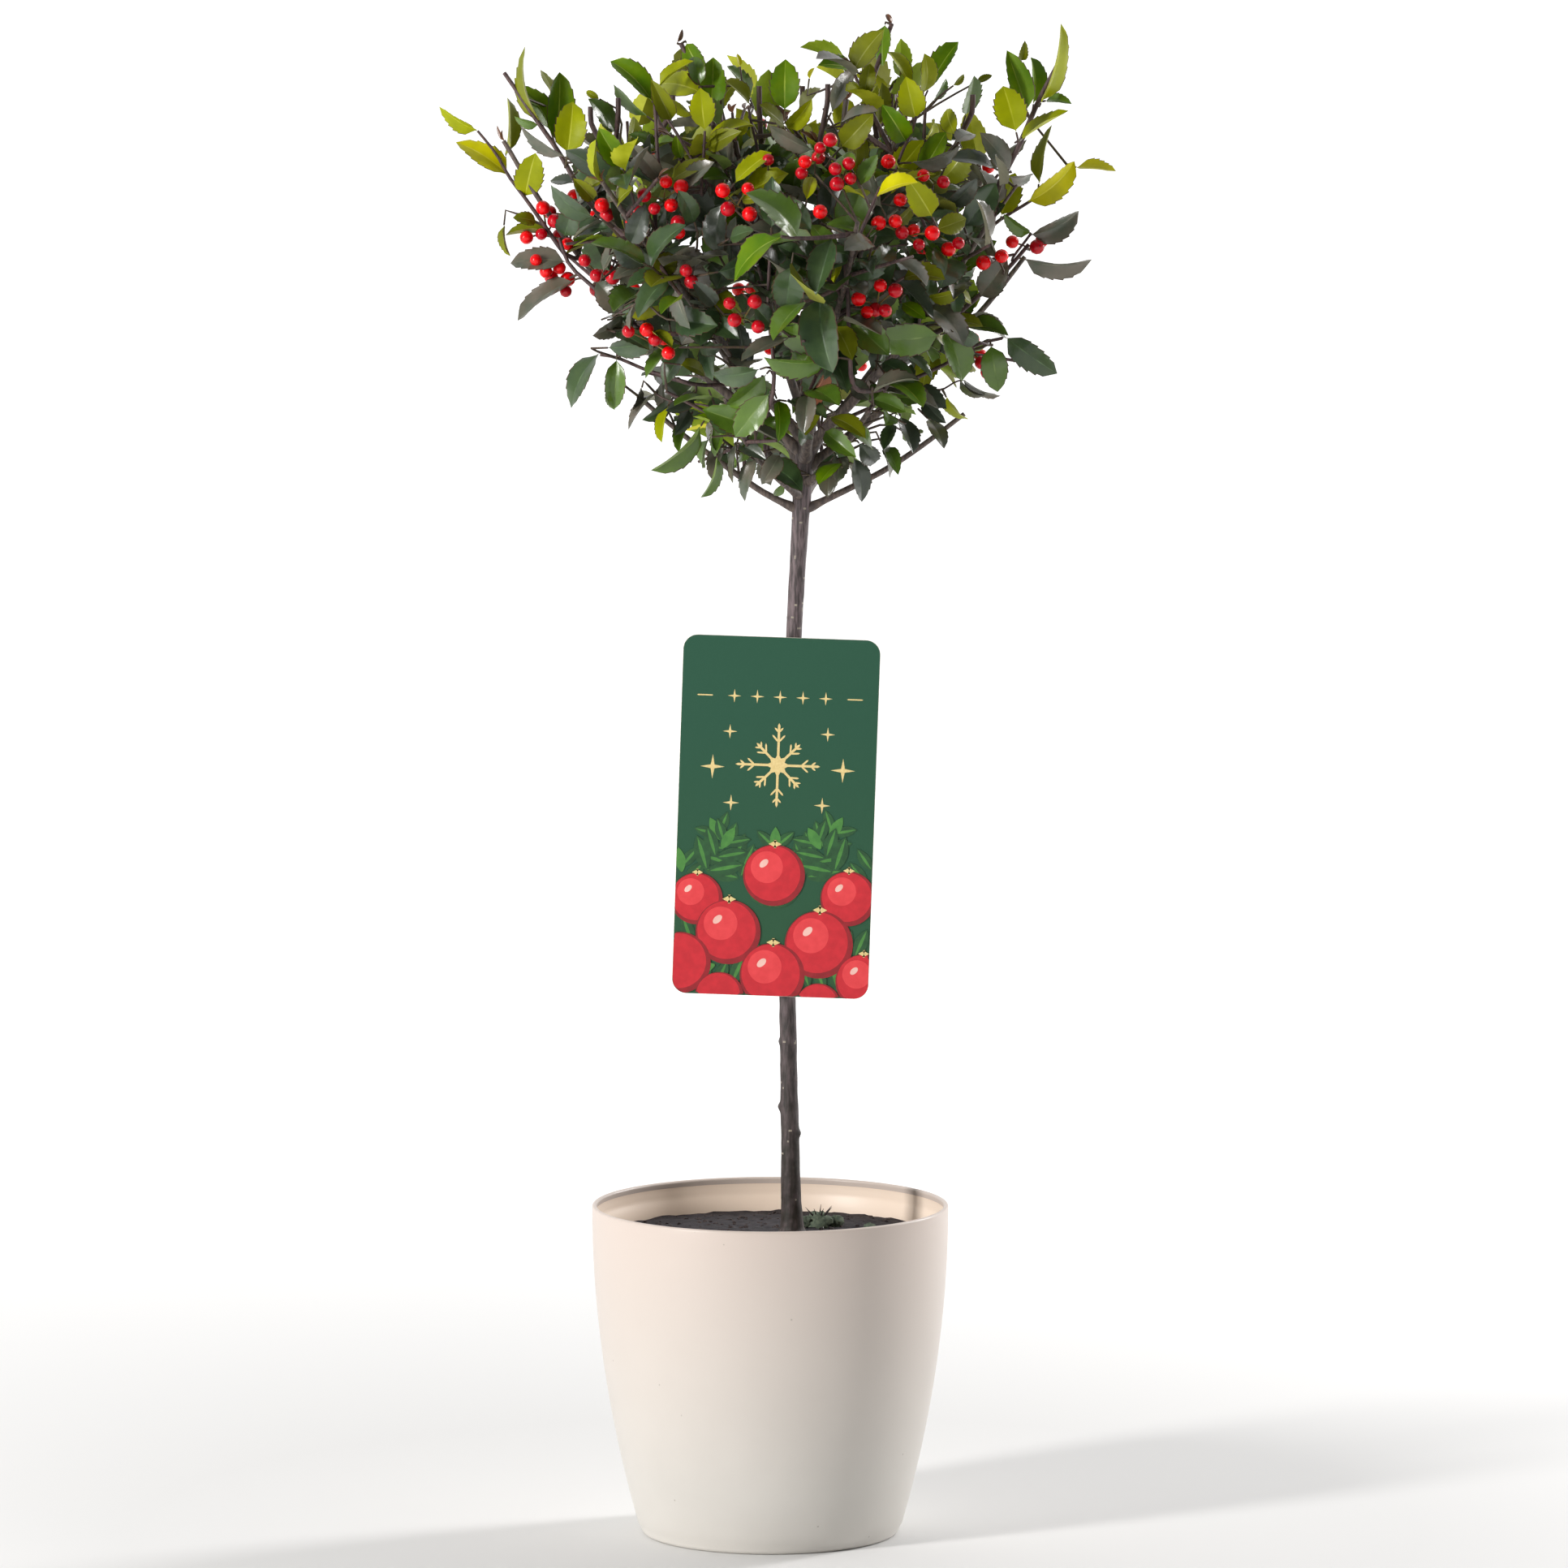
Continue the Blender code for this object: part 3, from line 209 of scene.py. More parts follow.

# Leaves at the front by their tone, which paints their light and shade as well as their own colour: root, tip, width
# and roll, in millimetres and radians
FRONT_LEAVES = {
    "bright": (
        (-130, -38, 861, -124, -39, 905, 22, 0.3),
        (-133, -20, 867, -143, -30, 901, 19, 0.8),
        (-71, -72, 888, -91, -76, 919, 19, 0.6),
        (-51, -15, 921, -43, -33, 901, 14, 0.5),
        (-53, -70, 853, -58, -83, 865, 9, -0.5),
        (9, -75, 882, 8, -80, 913, 19, 0.0),
        (50, -8, 904, 33, -27, 913, 14, 0.8),
        (70, -10, 932, 65, -27, 910, 14, 0.6),
        (96, -15, 892, 111, -17, 924, 18, -0.5),
        (82, -84, 864, 71, -102, 884, 18, -0.0),
        (156, -40, 880, 143, -43, 917, 20, 0.3),
        (160, -25, 884, 165, -23, 915, 16, 0.7),
        (4, -92, 710, 10, -111, 690, 14, -0.6),
        (79, -112, 769, 92, -127, 763, 10, -0.4),
    ),
    "rounded": (
        (-122, -72, 856, -117, -80, 888, 21, -0.0),
        (-178, -10, 867, -203, -16, 878, 13, -0.9),
        (-149, -16, 827, -145, -32, 852, 18, 0.0),
        (-116, -64, 845, -98, -55, 861, 15, 0.0),
        (-104, 0, 886, -113, 0, 891, 5, -0.0),
        (-86, -80, 859, -77, -70, 881, 13, 0.7),
        (-67, -70, 897, -49, -73, 916, 13, -1.0),
        (-39, -95, 871, -42, -96, 897, 16, -0.0),
        (-38, -88, 864, -14, -89, 885, 16, -1.1),
        (-22, -70, 867, -12, -70, 874, 7, 0.5),
        (-21, -120, 841, -2, -120, 863, 14, -0.6),
        (-62, -35, 701, -69, -54, 682, 14, 1.1),
        (10, -80, 872, 25, -99, 884, 14, 0.6),
        (71, -16, 916, 89, -32, 902, 14, -1.0),
        (93, -35, 891, 101, -55, 911, 15, 1.0),
        (88, -75, 877, 81, -82, 902, 18, -0.0),
        (54, -50, 885, 69, -49, 895, 9, 0.9),
        (112, -66, 867, 102, -55, 886, 12, -0.4),
        (94, -56, 864, 106, -42, 876, 11, 0.6),
        (148, -88, 870, 141, -88, 899, 20, 0.0),
        (163, -80, 887, 186, -92, 931, 25, 1.3),
        (150, -80, 865, 178, -84, 885, 17, -1.2),
        (141, -8, 815, 149, -15, 841, 18, -0.0),
        (22, -140, 832, 25, -126, 846, 11, 0.0),
        (97, -122, 821, 85, -136, 844, 18, -0.0),
        (72, -108, 834, 94, -109, 856, 15, -1.2),
        (107, -40, 707, 116, -29, 686, 13, 0.9),
    ),
    "lime": (
        (-159, -15, 840, -187, -14, 867, 19, 0.7),
        (-18, -55, 908, -19, -55, 916, 4, 0.7),
        (157, 3, 823, 192, -4, 840, 20, 0.7),
        (187, 10, 844, 211, -6, 844, 14, -1.0),
    ),
    "olive": (
        (-138, -40, 872, -168, -50, 912, 25, -1.4),
        (-133, -4, 890, -138, 10, 905, 11, 0.9),
        (-161, -8, 851, -153, -16, 886, 18, 1.3),
        (-59, -74, 876, -69, -90, 899, 15, -0.0),
        (-32, -22, 880, -26, -42, 900, 15, -0.9),
        (-12, -66, 886, -24, -85, 901, 14, 0.9),
        (-37, -84, 860, -22, -103, 873, 14, -0.5),
        (-59, -112, 842, -38, -119, 859, 14, -0.8),
        (-106, -70, 828, -115, -85, 840, 12, -0.0),
        (-134, -20, 805, -161, -18, 810, 14, 1.1),
        (-162, -15, 810, -164, -20, 791, 10, 1.2),
        (-142, -20, 812, -153, -33, 818, 9, 0.5),
        (-17, -135, 832, -7, -145, 834, 8, 0.0),
        (-112, -66, 833, -101, -82, 846, 12, -0.8),
        (-125, -24, 793, -104, -25, 804, 11, -1.1),
        (-87, -95, 761, -58, -101, 766, 15, 0.9),
        (-54, -100, 731, -32, -89, 728, 12, -0.6),
        (-69, -118, 786, -56, -105, 798, 15, 0.0),
        (-71, -100, 751, -58, -115, 745, 11, -0.9),
        (9, -80, 873, -3, -98, 887, 13, 0.9),
        (66, -20, 871, 68, -35, 896, 15, 0.8),
        (43, -88, 861, 59, -105, 879, 17, -0.0),
        (111, -44, 896, 119, -44, 902, 5, 0.7),
        (126, 4, 896, 135, 2, 901, 5, -0.4),
        (153, 4, 909, 156, -6, 919, 7, 0.3),
        (164, 4, 834, 167, 3, 871, 19, -1.2),
        (99, -118, 813, 119, -106, 819, 14, 0.0),
        (74, -118, 817, 94, -107, 826, 12, 0.8),
        (36, -82, 698, 57, -102, 696, 14, -0.9),
        (108, -85, 773, 126, -71, 769, 11, -0.6),
        (95, -100, 772, 112, -117, 770, 12, 1.0),
    ),
    "mid": (
        (-140, -40, 872, -156, -43, 874, 8, -0.8),
        (-94, -16, 866, -104, -35, 888, 16, 0.9),
        (-75, -10, 876, -98, -9, 892, 14, -1.1),
        (-12, -14, 886, -21, -34, 908, 16, 1.2),
        (-69, -70, 860, -80, -85, 870, 11, 0.7),
        (-93, -45, 731, -95, -51, 699, 16, -0.0),
        (-98, -20, 712, -97, -20, 697, 8, 0.9),
        (-42, -48, 690, -64, -57, 656, 21, -1.1),
        (-27, -58, 693, -34, -46, 670, 13, 0.7),
        (-32, -48, 671, -34, -47, 642, 15, -1.1),
        (-2, -108, 726, -26, -105, 698, 18, -0.4),
        (0, -112, 715, -23, -110, 686, 18, 0.1),
        (100, 0, 885, 111, -1, 897, 8, 0.9),
        (119, -8, 876, 125, -28, 899, 16, 0.9),
        (166, -70, 888, 179, -83, 892, 9, -0.9),
        (158, -34, 806, 142, -50, 813, 11, -0.8),
        (58, -135, 811, 42, -156, 824, 15, 0.9),
        (134, -42, 739, 139, -48, 710, 17, 0.0),
        (102, -112, 750, 62, -119, 742, 21, -0.3),
        (5, -132, 756, 40, -141, 739, 20, 0.6),
        (36, -126, 736, -2, -137, 728, 20, -0.9),
        (33, -70, 689, 48, -90, 676, 16, 0.0),
        (46, -68, 689, 70, -57, 683, 14, -0.6),
        (39, -16, 662, 41, -3, 648, 10, -0.6),
        (61, -76, 718, 68, -89, 708, 9, -0.5),
        (8, -22, 653, 2, -12, 643, 7, -0.5),
        (-50, -30, 692, -59, -48, 677, 12, 0.8),
        (-38, -34, 681, -45, -20, 661, 12, 0.9),
        (70, -26, 676, 80, -42, 665, 11, -0.6),
        (80, -30, 686, 96, -15, 677, 12, 0.7),
        (-13, -66, 685, -16, -51, 666, 12, -0.6),
        (120, -50, 751, 141, -71, 754, 15, -0.8),
    ),
    "deep": (
        (-106, -60, 817, -138, -66, 827, 17, -0.9),
        (-125, -30, 804, -120, -46, 820, 15, -0.0),
        (-45, -128, 818, -50, -146, 836, 13, 0.4),
        (1, -140, 816, -3, -128, 841, 17, -0.0),
        (-104, -30, 733, -131, -41, 707, 20, 0.9),
        (-98, -70, 739, -71, -88, 741, 16, 0.7),
        (-6, -125, 730, -37, -122, 720, 16, -0.6),
        (-57, -118, 759, -35, -140, 758, 20, -0.0),
        (-31, -138, 789, -5, -127, 793, 14, 0.5),
        (-43, -120, 743, -27, -103, 742, 12, 0.8),
        (-10, -145, 770, 5, -130, 753, 13, -0.4),
        (-24, -140, 809, -11, -155, 817, 11, -0.6),
        (-93, -78, 749, -73, -99, 744, 15, -0.9),
        (1, -150, 816, 3, -169, 843, 17, 0.0),
        (29, -145, 804, 50, -131, 798, 13, -0.3),
        (122, -60, 808, 136, -81, 829, 16, -1.0),
        (10, -138, 832, 21, -156, 819, 14, 0.0),
        (143, -30, 743, 174, -30, 719, 20, 0.6),
        (127, -62, 742, 111, -79, 748, 12, -0.5),
        (10, -100, 709, 35, -120, 707, 16, -1.0),
        (67, -80, 731, 85, -99, 727, 13, -0.5),
        (17, -64, 690, 25, -48, 676, 12, -0.0),
        (19, -40, 662, -4, -28, 670, 14, -0.4),
        (13, -148, 794, 9, -146, 764, 20, 0.0),
        (22, -142, 777, 44, -128, 776, 15, 0.0),
        (50, -140, 799, 30, -160, 804, 15, -0.6),
        (-60, -24, 704, -70, -42, 690, 12, -1.0),
        (75, -40, 691, 70, -57, 677, 11, 0.4),
        (39, -30, 672, 30, -17, 661, 10, -0.6),
        (48, -135, 792, 63, -152, 786, 12, 0.5),
    ),
    "dark": (
        (-119, -50, 838, -133, -37, 840, 9, 0.5),
        (-84, -105, 803, -75, -125, 823, 15, -0.0),
        (-46, -50, 710, -61, -68, 701, 13, -0.5),
        (-49, -42, 700, -57, -59, 687, 12, -0.4),
        (-32, -125, 768, -43, -142, 782, 13, -0.0),
        (-75, -100, 790, -92, -121, 802, 15, -0.9),
        (-19, -60, 680, -3, -77, 674, 12, -0.3),
        (108, -90, 826, 123, -109, 839, 14, 0.6),
        (135, -78, 848, 112, -95, 862, 16, 1.0),
        (54, -40, 679, 65, -25, 664, 15, 0.0),
        (51, -24, 669, 61, -26, 641, 15, -0.6),
        (79, -46, 696, 89, -66, 676, 15, -0.8),
        (89, -52, 713, 105, -70, 707, 13, -0.4),
        (93, -44, 705, 103, -61, 693, 11, 0.3),
        (69, -108, 789, 100, -120, 763, 21, -1.0),
    ),
    "grey": (
        (-124, -66, 854, -153, -65, 869, 16, -1.2),
        (-85, -78, 853, -99, -97, 867, 14, 0.8),
        (-66, -96, 843, -79, -116, 859, 14, -0.0),
        (-99, -84, 829, -84, -105, 845, 15, -0.6),
        (-53, -110, 837, -38, -131, 855, 16, -0.8),
        (-22, -100, 851, -37, -85, 858, 11, -1.0),
        (-94, -100, 798, -76, -86, 803, 12, -0.7),
        (-124, -35, 789, -159, -34, 794, 18, 0.6),
        (-119, -39, 778, -158, -39, 761, 22, 1.0),
        (-101, -70, 784, -93, -73, 812, 15, -1.1),
        (-89, -53, 758, -105, -56, 780, 17, 0.0),
        (-78, -90, 789, -94, -106, 788, 11, 0.8),
        (-88, -60, 757, -104, -81, 744, 15, -1.0),
        (-34, -55, 694, -42, -43, 671, 13, 1.0),
        (-20, -50, 680, -27, -51, 656, 12, 1.2),
        (-8, -52, 671, -22, -57, 647, 14, 0.9),
        (6, -62, 674, -2, -79, 660, 13, -0.0),
        (-78, -30, 712, -82, -31, 697, 8, -1.1),
        (-70, -30, 709, -91, -37, 691, 14, 1.3),
        (37, -50, 880, 50, -58, 908, 16, -0.8),
        (42, -75, 875, 64, -95, 885, 15, -1.1),
        (112, -76, 863, 124, -61, 875, 12, -0.4),
        (158, -32, 805, 192, -38, 811, 18, 0.6),
        (138, -60, 792, 127, -51, 815, 14, -1.0),
        (26, -108, 860, -3, -107, 872, 16, -0.9),
        (67, -120, 826, 52, -121, 855, 16, -0.7),
        (85, -95, 852, 117, -97, 853, 16, 1.0),
        (145, -72, 846, 131, -88, 870, 16, 0.5),
        (145, -50, 841, 162, -35, 839, 12, 0.8),
        (154, -28, 790, 196, -24, 777, 22, 1.0),
        (127, -46, 768, 144, -61, 790, 18, -0.0),
        (121, -45, 758, 149, -43, 748, 15, -0.9),
        (67, -36, 680, 78, -26, 656, 14, -1.1),
        (60, -84, 708, 48, -69, 720, 12, -0.0),
        (117, -34, 717, 136, -41, 701, 13, 1.3),
        (115, -36, 717, 126, -39, 702, 10, 1.2),
        (-29, -30, 676, -37, -49, 660, 13, 0.8),
        (96, -28, 693, 109, -47, 681, 13, -0.9),
    ),
    "bronze": (
        (-56, -15, 921, -53, -16, 929, 4, 0.8),
        (74, -10, 932, 71, -9, 939, 4, 0.1),
    ),
    "withered": (
        (35, -118, 731, 23, -120, 699, 17, -0.8),
    ),
}

# Berry clusters at the front: how far back, then how far right and up each berry lies, in millimetres
FRONT_BERRIES = (
    (-24, ((-138, 821), (-131, 813), (-148, 803), (-123, 799), (-139, 805))),
    (-36, ((-136, 783), (-128, 785), (-142, 790), (-124, 771), (-123, 778), (-133, 779))),
    (-58, ((-112, 791), (-105, 782), (-95, 781))),
    (-86, ((-101, 826), (-98, 820))),
    (-100, ((-83, 816), (-80, 823))),
    (-122, ((-75, 834), (-69, 826), (-59, 828), (-62, 842), (-53, 839))),
    (-132, ((-54, 812), (-55, 818))),
    (-144, ((-28, 838), (-13, 839), (-25, 827), (-12, 824))),
    (-118, ((-1, 855),)),
    (-142, ((36, 868), (30, 863), (29, 857), (21, 855), (19, 848))),
    (-146, ((39, 851), (40, 842), (47, 854), (48, 845))),
    (-156, ((30, 826),)),
    (-118, ((78, 831),)),
    (-100, ((71, 853),)),
    (-106, ((92, 845), (104, 841))),
    (-132, ((65, 818), (75, 819), (79, 812), (86, 813), (89, 805), (97, 812))),
    (-116, ((113, 805), (107, 801))),
    (-36, ((147, 801), (162, 798), (165, 801))),
    (-62, ((129, 790), (140, 794))),
    (-100, ((-85, 751), (-74, 752), (-69, 746), (-64, 746), (-61, 738))),
    (-138, ((-50, 790), (-47, 783))),
    (-148, ((-24, 771), (-9, 772), (-21, 761), (-7, 757))),
    (-138, ((53, 773), (58, 765), (69, 766), (75, 778), (66, 781), (63, 766))),
)
# The front's high inner growth stands again at the back, turned and lower: where it starts
FRONT_TURNS = ((0.0, 0.0), (math.pi, 0.012))
BACK_FLOOR = 0.835
BACK_DEPTH = 0.045
BACK_REACH = 0.130
FRONT_FOOT = np.array((0.0, 0.010, -0.004))
JOINT_CLEAR = 0.0012

FRONT_SHOOT_TOP = 0.83
FRONT_SHOOT_MOOD = -1.5
HIDDEN_REACH = 0.011

# The crown's closed middle as the camera sees it: height, left end and right end. Past it the sky shows
# between the front's leaves.
CLOSED_MIDDLE = np.array(
    (
        (0.647, -0.012, 0.044), (0.656, -0.036, 0.060), (0.679, -0.052, 0.076), (0.699, -0.070, 0.098),
        (0.714, -0.090, 0.124), (0.733, -0.100, 0.134), (0.756, -0.101, 0.130), (0.776, -0.108, 0.126),
        (0.798, -0.123, 0.134), (0.833, -0.130, 0.144), (0.860, -0.130, 0.147), (0.874, -0.096, 0.122),
    )
)
BACK_CLUSTERS = 20
TO_VIEWER = np.array((0.0, -0.994, 0.110))
EYE = np.array((0.0085, -6.0, 1.153))


def unit(vectors):
    """Vectors at length one."""
    return vectors / np.linalg.norm(vectors, axis=-1, keepdims=True)


def heading(azimuth, elevation):
    """Direction from an azimuth and an elevation in degrees."""
    a, e = math.radians(azimuth), math.radians(elevation)
    return np.array((math.cos(e) * math.cos(a), math.cos(e) * math.sin(a), math.sin(e)))


def spun(vector, axis, angle):
    """The vector turned about an axis."""
    flat = np.cross(axis, vector)
    along = axis * np.dot(axis, vector)
    return vector * math.cos(angle) + flat * math.sin(angle) + along * (1 - math.cos(angle))


def evened(line, count):
    """Points at even distances along a line: each coordinate read off its own length."""
    ends = np.concatenate([[0], np.cumsum(np.linalg.norm(np.diff(line, axis=0), axis=1))])
    spots = np.linspace(0, ends[-1], count)
    return np.stack([np.interp(spots, ends, line[:, k]) for k in range(line.shape[1])], axis=1)


def rounded(line, rounds, count):
    """A line whose corners are cut at a quarter and three quarters of each straight, some times over."""
    for _ in range(rounds):
        low, high = line[:-1], line[1:]
        cut = np.stack([0.75 * low + 0.25 * high, 0.25 * low + 0.75 * high], axis=1)
        line = np.concatenate([line[:1], cut.reshape(-1, line.shape[1])[1:-1], line[-1:]])
    return evened(line, count)


class Skin:
    """Points and faces in the making. Whole arrays are added, and one mesh is made of them at the end."""

    def __init__(self):
        self.points = []
        self.faces = []
        self.slots = []
        self.count = 0

    def add(self, points, faces, slots=0):
        """Add copies of one net: points (copies, points, 3), a list of face arrays that all copies
        share, and a material slot for each face, or for each face of each copy."""
        points = np.asarray(points, float)
        points = points.reshape(-1, *points.shape[-2:])
        copies, size = points.shape[:2]
        starts = self.count + size * np.arange(copies)
        first = 0
        for net in faces:
            self.faces.append((starts[:, None, None] + net[None]).reshape(-1, net.shape[1]))
            share = slots if np.isscalar(slots) else np.asarray(slots)[..., first : first + len(net)]
            self.slots.append(np.broadcast_to(share, (copies, len(net))).ravel())
            first += len(net)
        self.points.append(points.reshape(-1, 3))
        self.count += copies * size

    def piece(self, name, materials, slot, nodes=(), sharp=math.radians(50)):
        """The finished piece, on the only body, standing for its CAD nodes."""
        points = np.concatenate(self.points)
        corners = np.concatenate([net.ravel() for net in self.faces])
        sizes = np.concatenate([np.full(len(net), net.shape[1]) for net in self.faces])
        mesh = bpy.data.meshes.new(name)
        mesh.vertices.add(len(points))
        mesh.vertices.foreach_set("co", points.astype(np.float32).ravel())
        mesh.loops.add(len(corners))
        mesh.loops.foreach_set("vertex_index", corners.astype(np.int32))
        mesh.polygons.add(len(sizes))
        starts = np.concatenate([[0], np.cumsum(sizes)[:-1]])
        mesh.polygons.foreach_set("loop_start", starts.astype(np.int32))
        mesh.polygons.foreach_set("material_index", np.concatenate(self.slots).astype(np.int32))
        mesh.update(calc_edges=True)
        mesh.validate()
        mesh.shade_smooth()
        mesh.set_sharp_from_angle(angle=sharp)
        for material in materials:
            mesh.materials.append(material)
        thing = bpy.data.objects.new(name, mesh)
        bpy.context.scene.collection.objects.link(thing)
        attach(thing, "root")
        if nodes:
            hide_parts(*nodes)
        return thing


def net_faces(rows, columns, closed):
    """Four-sided faces of a grid of rows, each row closed on itself or open."""
    index = np.arange(rows * columns).reshape(rows, columns)
    if closed:
        index = np.concatenate([index, index[:, :1]], axis=1)
    corners = (index[:-1, :-1], index[:-1, 1:], index[1:, 1:], index[1:, :-1])
    return np.stack(corners, axis=-1).reshape(-1, 4)


def ball_faces(rows, columns):
    """Faces of closed rows with a pole at each end: the first pole, the rows, the last pole."""
    sides = net_faces(rows, columns, True) + 1
    ring = np.arange(columns)
    after = np.roll(ring, -1)
    first = np.stack([np.zeros_like(ring), after + 1, ring + 1], axis=1)
    low = 1 + (rows - 1) * columns
    last = np.stack([low + ring, low + after, np.full_like(ring, low + columns)], axis=1)
    return [sides, first, last]


def turned(profile, steps, relief=None):
    """A profile of radius and height turned round Z, pole to pole: x is radius times the cosine of the
    turn and y its sine. Relief moves each point of the rows up or down."""
    turn = np.arange(steps) * math.tau / steps
    radius, height = np.asarray(profile[1:-1], float).T
    rows = np.stack(
        [
            radius[:, None] * np.cos(turn),
            radius[:, None] * np.sin(turn),
            np.broadcast_to(height[:, None], (len(height), steps)),
        ],
        axis=-1,
    )
    if relief is not None:
        rows[..., 2] += relief
    poles = [(0.0, 0.0, profile[0][1]), (0.0, 0.0, profile[-1][1])]
    points = np.concatenate([poles[:1], rows.reshape(-1, 3), poles[1:]])
    return points, ball_faces(len(rows), steps)


def tubes(paths, radii, sides, relief=0.0):
    """Tapering tubes with closed ends along paths of one length: each ring stands square to its path,
    at the radius there plus the relief, and a pole closes each end."""
    paths = np.asarray(paths, float)
    paths = paths.reshape(-1, *paths.shape[-2:])
    way = unit(np.gradient(paths, axis=1))
    first = unit(np.cross(way, np.array((0.30, 0.95, 0.10))))
    second = np.cross(way, first)
    turn = np.arange(sides) * math.tau / sides
    reach = np.broadcast_to(np.asarray(radii)[..., None] + relief, (*paths.shape[:2], sides))
    rings = (
        paths[:, :, None]
        + (reach * np.cos(turn))[..., None] * first[:, :, None]
        + (reach * np.sin(turn))[..., None] * second[:, :, None]
    )
    body = rings.reshape(len(paths), -1, 3)
    points = np.concatenate([paths[:, :1], body, paths[:, -1:]], axis=1)
    return points, [net[:, ::-1] for net in ball_faces(paths.shape[1], sides)]


def arc(middle, radius, start, end, count):
    """Points on an arc of a circle, from one angle in degrees to another."""
    angles = np.radians(np.linspace(start, end, count))
    return [(middle[0] + radius * math.cos(a), middle[1] + radius * math.sin(a)) for a in angles]


# Materials


def tint(code):
    """Linear colour of an sRGB hex value: each share to the power 2.4 past its toe."""
    shares = [int(code[i : i + 2], 16) / 255 for i in (1, 3, 5)]
    return [s / 12.92 if s <= 0.04045 else ((s + 0.055) / 1.055) ** 2.4 for s in shares] + [1.0]


def add(tree, kind, settings=None, links=None):
    """A node with its settings and links. A setting is a socket's value or a property."""
    made = tree.nodes.new(kind)
    for key, value in (settings or {}).items():
        if isinstance(key, int) or key in made.inputs:
            made.inputs[key].default_value = value
        else:
            setattr(made, key, value)
    for key, source in (links or {}).items():
        tree.links.new(source, made.inputs[key])
    return made


# Sockets of a Mix node that mixes colours
COLOUR_MIX = {"data_type": "RGBA"}
FACTOR, COLOUR_A, COLOUR_B, COLOUR_OUT = 0, 6, 7, 2


def per_mm(size):
    """Scale of a pattern whose features lie this many millimetres apart."""
    return 1000.0 / size


def start_material(name, settings):
    """A new material with its tree, its Principled shader with settings, and object coordinates."""
    material = bpy.data.materials.new(name)
    material.use_nodes = True
    tree = material.node_tree
    shader = tree.nodes["Principled BSDF"]
    for key, value in settings.items():
        shader.inputs[key].default_value = value
    place = add(tree, "ShaderNodeTexCoord").outputs["Object"]
    return material, tree, shader, place


def mottled(name, first, second, blotch, settings, pores=None, pore_depth=0.0, low=0.35, high=0.65):
    """A finish that drifts between two colours over blotches of some millimetres, with pores as bump."""
    material, tree, shader, place = start_material(name, settings)
    drift = add(tree, "ShaderNodeTexNoise", {"Scale": per_mm(blotch), "Detail": 3.0}, {"Vector": place})
    share = add(
        tree,
        "ShaderNodeMapRange",
        {"From Min": low, "From Max": high},
        {"Value": drift.outputs["Fac"]},
    )
    mix = add(
        tree,
        "ShaderNodeMix",
        {**COLOUR_MIX, COLOUR_A: tint(first), COLOUR_B: tint(second)},
        {FACTOR: share.outputs["Result"]},
    )
    tree.links.new(mix.outputs[COLOUR_OUT], shader.inputs["Base Color"])
    if pores:
        grain = add(tree, "ShaderNodeTexNoise", {"Scale": per_mm(pores), "Detail": 4.0}, {"Vector": place})
        bump = add(
            tree,
            "ShaderNodeBump",
            {"Strength": 0.6, "Distance": pore_depth},
            {"Height": grain.outputs["Fac"]},
        )
        tree.links.new(bump.outputs["Normal"], shader.inputs["Normal"])
    return material


def over(tree, shader, colour, share):
    """Lay a colour over what the shader's base colour reads, by a share."""
    before = shader.inputs["Base Color"].links[0].from_socket
    mix = add(tree, "ShaderNodeMix", {**COLOUR_MIX, COLOUR_B: tint(colour)}, {FACTOR: share, COLOUR_A: before})
    tree.links.new(mix.outputs[COLOUR_OUT], shader.inputs["Base Color"])


def pot_material():
    """Injection-moulded polypropylene in cream: a satin skin with a few dust specks, and painted shade that makes it
    darker and warmer towards the rim.
    """
    satin = {"Roughness": 0.38, "IOR": 1.49}
    material = mottled("moulded cream polypropylene", "#e0dcd5", "#dcd8d1", 60.0, satin, 1.6, 0.00004)
    tree = material.node_tree
    shader = tree.nodes["Principled BSDF"]
    place = tree.nodes["Texture Coordinate"].outputs["Object"]
    specks = add(
        tree,
        "ShaderNodeTexVoronoi",
        {"Scale": per_mm(22.0), "Randomness": 1.0},
        {"Vector": place},
    )
    share = add(
        tree,
        "ShaderNodeMapRange",
        {"From Min": 0.030, "From Max": 0.022, "To Max": 0.5},
        {"Value": specks.outputs["Distance"]},
    )
    height = add(tree, "ShaderNodeSeparateXYZ", {}, {"Vector": place})
    # Painted shade: the upper pot is darker and warmer, the foot lighter.
    painted_upper_shade = add(
        tree,
        "ShaderNodeMapRange",
        {"From Min": 0.04, "From Max": 0.20},
        {"Value": height.outputs["Z"]},
    )
    over(tree, shader, "#d8cac0", painted_upper_shade.outputs["Result"])
    over(tree, shader, "#9c9488", share.outputs["Result"])
    return material


